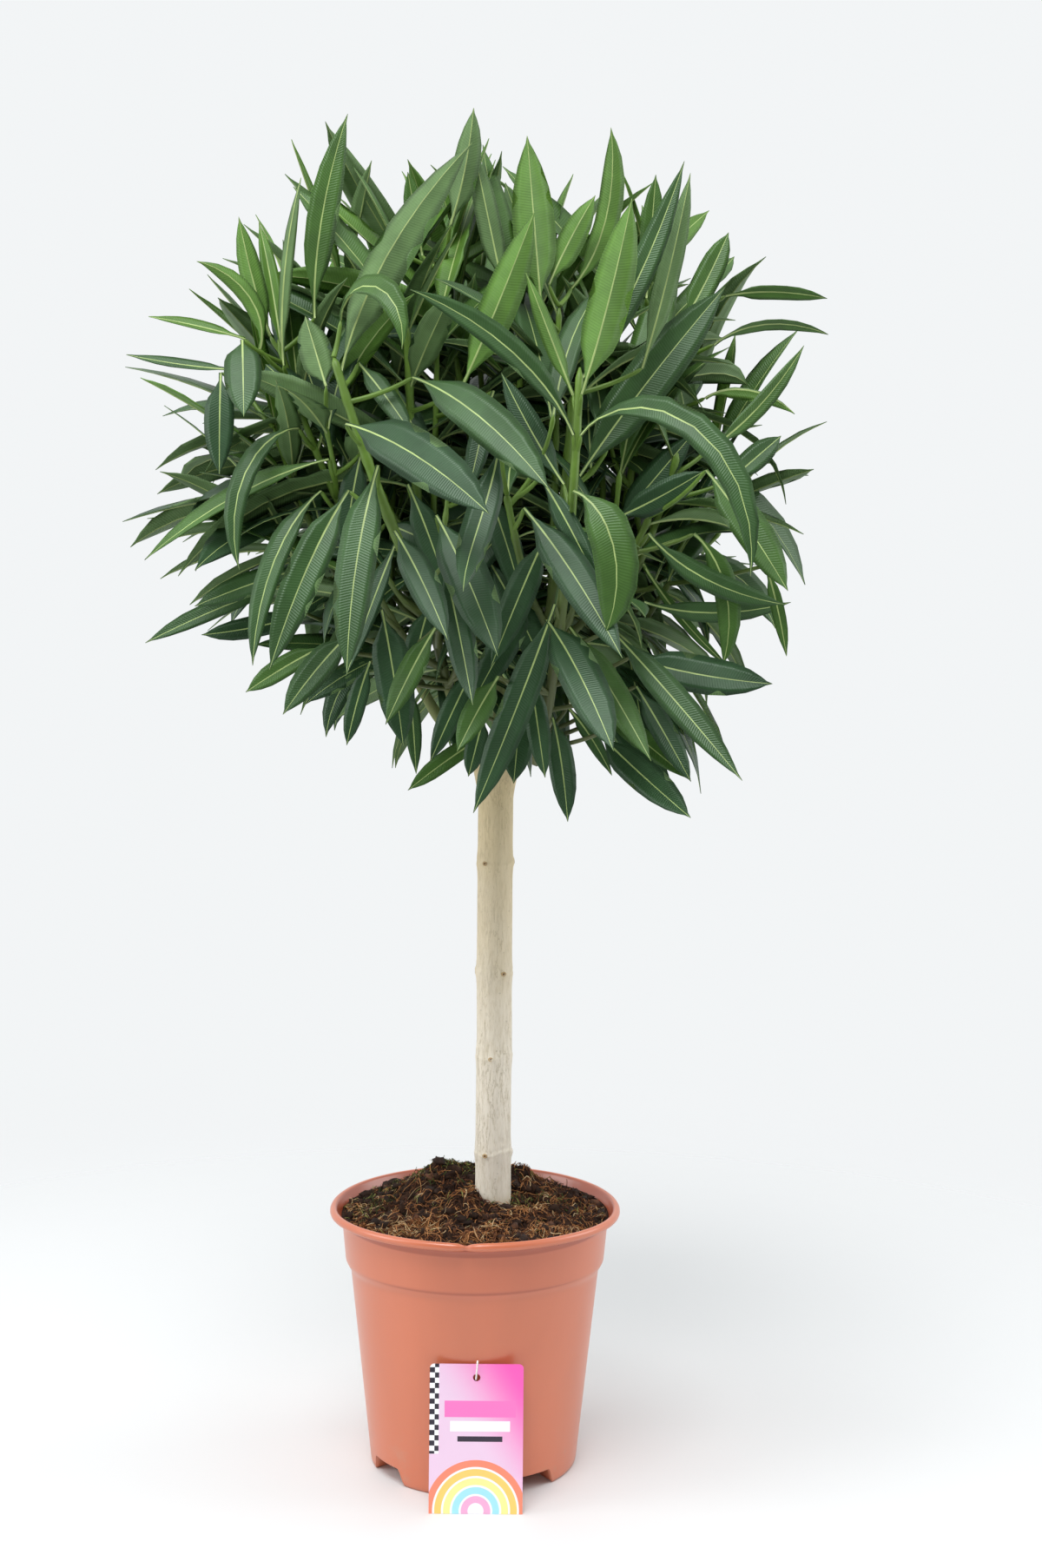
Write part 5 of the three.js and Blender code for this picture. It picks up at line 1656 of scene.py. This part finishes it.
def build_floor(settings):
    """A pale round floor that fades into the background with its distance from the pot."""
    columns, radii = 96, np.array([0.02, 0.5, 1.0, 2.0, 4.0])
    azimuth = np.linspace(0, 2 * np.pi, columns, endpoint=False)[None, :]
    wide = radii[::-1, None]
    rings = xyz(wide * np.cos(azimuth), wide * np.sin(azimuth), 0)
    quads = grid_quads(len(radii), columns, closed=True)
    last = (len(radii) - 1) * columns + np.arange(columns)
    middle = len(radii) * columns
    tris = np.stack([last, np.roll(last, -1), np.full(columns, middle)], axis=-1)
    points = np.vstack([rings.reshape(-1, 3), [[0, 0, 0]]])
    shader = Shader("pale_floor", 0.55, Specular_IOR_Level=0.3)
    shader.surface.inputs["Base Color"].default_value = colour4(settings.floor)
    x, y, _ = shader.axes()
    away = (x * x + y * y) ** 0.5
    clear = shader.node("ShaderNodeBsdfTransparent")
    mixed = shader.node("ShaderNodeMixShader", values={0: away.step(0.35, 1.1)})
    node = mixed.socket.node
    shader.tree.links.new(shader.surface.outputs[0], node.inputs[1])
    shader.tree.links.new(clear.socket, node.inputs[2])
    shader.tree.links.new(node.outputs[0], shader.tree.nodes["Material Output"].inputs["Surface"])
    floor = make_piece("floor", points, quads, tris, [shader.material])


def build_world(settings):
    """A pale background. It also lights the plant from all round, less from the dim room in front."""
    world = bpy.data.worlds.new("studio")
    world.use_nodes = True
    tree = world.node_tree
    background = tree.nodes["Background"]
    background.inputs["Color"].default_value = (0.93, 0.95, 0.96, 1)
    direction = tree.nodes.new("ShaderNodeTexCoord").outputs["Generated"]
    frontal = tree.nodes.new("ShaderNodeVectorMath")
    frontal.operation = "DOT_PRODUCT"
    frontal.inputs[1].default_value = (0.0, -0.99, 0.1)
    dimmed = tree.nodes.new("ShaderNodeMapRange")
    dimmed.interpolation_type = "SMOOTHSTEP"
    for number, value in enumerate((0.3, 0.9, settings.ambient, settings.ambient * settings.room), 1):
        dimmed.inputs[number].default_value = value
    shown = tree.nodes.new("ShaderNodeMix")
    shown.inputs["B"].default_value = settings.ambient
    path = tree.nodes.new("ShaderNodeLightPath")
    for start, end in (
        (direction, frontal.inputs[0]), (frontal.outputs["Value"], dimmed.inputs[0]),
        (path.outputs["Is Camera Ray"], shown.inputs["Factor"]), (dimmed.outputs[0], shown.inputs["A"]),
        (shown.outputs["Result"], background.inputs["Strength"]),
    ):
        tree.links.new(start, end)
    bpy.context.scene.world = world


def build_lights(settings):
    """One large soft light above and in front, a weaker one from each side, and a little fill without a
    glint."""
    for name, spot, size, share in (
        ("key_light", (-0.35, -1.15, 2.6), 1.5, 1.0),
        ("left_light", (-2.0, -0.4, 1.2), 1.4, 0.35),
        ("right_light", (2.0, 0.2, 1.2), 1.4, 0.3),
        ("fill_light", (-0.3, -2.4, 0.7), 1.2, 0.24),
    ):
        light = bpy.data.lights.new(name, "AREA")
        light.shape = "DISK"
        light.size = size
        light.energy = settings.key * share
        lamp = bpy.data.objects.new(name, light)
        lamp.visible_glossy = name != "fill_light"
        spot = np.array(spot)
        towards = np.array([0, 0, 0.5]) - spot
        back = unit(-towards)
        side = unit(np.cross(UP, back))
        matrix = np.eye(4)
        matrix[:3, 0], matrix[:3, 1], matrix[:3, 2], matrix[:3, 3] = side, np.cross(back, side), back, spot
        lamp.matrix_world = Matrix(matrix.tolist())
        bpy.context.scene.collection.objects.link(lamp)


def build_camera():
    """A camera at the height of the crown's foot, tipped down a little."""
    camera = bpy.data.cameras.new("camera")
    camera.sensor_fit = "VERTICAL"
    camera.sensor_height = CAMERA["frame"]
    camera.lens = CAMERA["lens"]
    eye = bpy.data.objects.new("camera", camera)
    tilt = Matrix.Rotation(math.radians(90 - CAMERA["tilt"]), 4, "X")
    roll = Matrix.Rotation(math.radians(CAMERA["roll"]), 4, "Z")
    eye.matrix_world = Matrix.Translation(tuple(VIEWER * MM)) @ tilt @ roll
    bpy.context.scene.collection.objects.link(eye)
    bpy.context.scene.camera = eye
    bpy.context.scene.view_settings.view_transform = "Standard"


# ---------------------------------------------------------------- panel and registration


class OLEANDER_PT_panel(bpy.types.Panel):
    bl_idname = "OLEANDER_PT_panel"
    bl_label = "Potted oleander"
    bl_space_type = "VIEW_3D"
    bl_region_type = "UI"
    bl_category = "Oleander"

    def draw(self, context):
        for key, operators in SECTIONS.items():
            box = self.layout.box()
            group = getattr(context.scene, key, None)
            if group is not None:
                for name in group.__annotations__:
                    box.prop(group, name)
            for operator in operators:
                box.operator(operator.bl_idname)


GROUPS = {
    "oleander_pot": PotSettings,
    "oleander_soil": SoilSettings,
    "oleander_plant": PlantSettings,
    "oleander_stage": StageSettings,
}
SECTIONS = {
    "oleander_pot": [OLEANDER_OT_pot],
    "oleander_soil": [OLEANDER_OT_soil],
    "oleander_plant": [OLEANDER_OT_trunk, OLEANDER_OT_crown],
    "oleander_label": [OLEANDER_OT_label],
    "oleander_stage": [OLEANDER_OT_stage],
}
OPERATORS = [operator for operators in SECTIONS.values() for operator in operators]


def register():
    for one in (*GROUPS.values(), *OPERATORS, OLEANDER_PT_panel):
        bpy.utils.register_class(one)
    for key, group in GROUPS.items():
        setattr(bpy.types.Scene, key, PointerProperty(type=group))


def unregister():
    for key in GROUPS:
        delattr(bpy.types.Scene, key)
    for one in reversed((*GROUPS.values(), *OPERATORS, OLEANDER_PT_panel)):
        bpy.utils.unregister_class(one)


def main():
    register()
    bpy.ops.oleander.stage()
    bpy.ops.oleander.pot()
    bpy.ops.oleander.soil()
    bpy.ops.oleander.trunk()
    bpy.ops.oleander.crown()
    bpy.ops.oleander.label()


if __name__ == "__main__":
    main()
